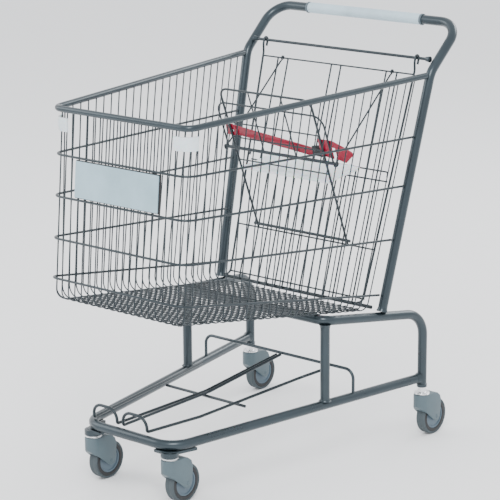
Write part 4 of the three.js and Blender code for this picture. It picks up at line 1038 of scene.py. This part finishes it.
class CART_OT_stage(bpy.types.Operator):
    """Pale floor, soft lights, sky and camera"""

    bl_idname = "cart.stage"
    bl_label = "Stage"

    def execute(self, context):
        scene = context.scene
        lens = bpy.data.cameras.new("View")
        lens.sensor_width = FILM
        lens.lens = LENS
        lens.clip_end = 60.0
        camera = bpy.data.objects.new("View", lens)
        camera.matrix_world = view_frame()
        scene.collection.objects.link(camera)
        scene.camera = camera

        work = bmesh.new()
        corners = [(-14, -14), (14, -14), (14, 14), (-14, 14)]
        work.faces.new([work.verts.new((x, y, 0)) for x, y in corners])
        mesh = bpy.data.meshes.new("Floor")
        work.to_mesh(mesh)
        work.free()
        look = bpy.data.materials.new("Studio floor")
        look.use_nodes = True
        shader = look.node_tree.nodes["Principled BSDF"]
        place = look.node_tree.nodes.new("ShaderNodeTexCoord")
        cloud = look.node_tree.nodes.new("ShaderNodeTexNoise")
        cloud.inputs["Scale"].default_value = 3.0
        ramp = look.node_tree.nodes.new("ShaderNodeMapRange")
        ramp.inputs["To Min"].default_value = 0.55
        ramp.inputs["To Max"].default_value = 0.65
        look.node_tree.links.new(place.outputs["Object"], cloud.inputs["Vector"])
        look.node_tree.links.new(cloud.outputs["Fac"], ramp.inputs["Value"])
        look.node_tree.links.new(ramp.outputs["Result"], shader.inputs["Roughness"])
        shader.inputs["Base Color"].default_value = (*rgb(looks().floor), 1)
        mesh.materials.append(look)
        floor = bpy.data.objects.new("Floor", mesh)
        scene.collection.objects.link(floor)

        world = bpy.data.worlds.new("Studio")
        scene.world = world
        world.use_nodes = True
        world.node_tree.nodes["Background"].inputs["Color"].default_value = (0.95, 0.97, 1.0, 1)
        world.node_tree.nodes["Background"].inputs["Strength"].default_value = 1.55

        def lamp(name, place, size, power):
            light = bpy.data.lights.new(name, "AREA")
            light.shape = "RECTANGLE"
            light.size, light.size_y = size
            light.energy = power
            item = bpy.data.objects.new(name, light)
            item.location = place
            item.rotation_euler = (Vector((0, 0, 0.6)) - Vector(place)).to_track_quat("-Z", "Y").to_euler()
            scene.collection.objects.link(item)

        lamp("Key", (2.4, -3.2, 4.2), (2.2, 2.2), 190)
        lamp("Fill", (-3.6, -2.2, 2.6), (2.6, 2.6), 70)
        lamp("Rim", (0.8, 4.2, 3.2), (3.0, 1.6), 90)
        return {"FINISHED"}


class CART_PT_panel(bpy.types.Panel):
    bl_label = "Shopping cart"
    bl_idname = "CART_PT_panel"
    bl_space_type = "VIEW_3D"
    bl_region_type = "UI"
    bl_category = "Cart"

    def draw(self, context):
        column = self.layout.column()
        for group in (context.scene.cart_wires, context.scene.cart_looks):
            for item in group.bl_rna.properties:
                if item.identifier not in {"rna_type", "name"}:
                    column.prop(group, item.identifier)
        for operator in OPERATORS:
            column.operator(operator.bl_idname)


OPERATORS = (
    CART_OT_chassis,
    CART_OT_handle,
    CART_OT_basket,
    CART_OT_gate,
    CART_OT_seat,
    CART_OT_fittings,
    CART_OT_rack,
    CART_OT_casters,
    CART_OT_stage,
)
CLASSES = (CartWireSettings, CartLookSettings, *OPERATORS, CART_PT_panel)


def register():
    for item in CLASSES:
        bpy.utils.register_class(item)
    bpy.types.Scene.cart_wires = PointerProperty(type=CartWireSettings)
    bpy.types.Scene.cart_looks = PointerProperty(type=CartLookSettings)


def unregister():
    del bpy.types.Scene.cart_looks
    del bpy.types.Scene.cart_wires
    for item in reversed(CLASSES):
        bpy.utils.unregister_class(item)


def main():
    register()
    bpy.ops.cart.chassis()
    bpy.ops.cart.handle()
    bpy.ops.cart.basket()
    bpy.ops.cart.gate()
    bpy.ops.cart.seat()
    bpy.ops.cart.fittings()
    bpy.ops.cart.rack()
    bpy.ops.cart.casters()
    bpy.ops.cart.stage()


if __name__ == "__main__":
    main()
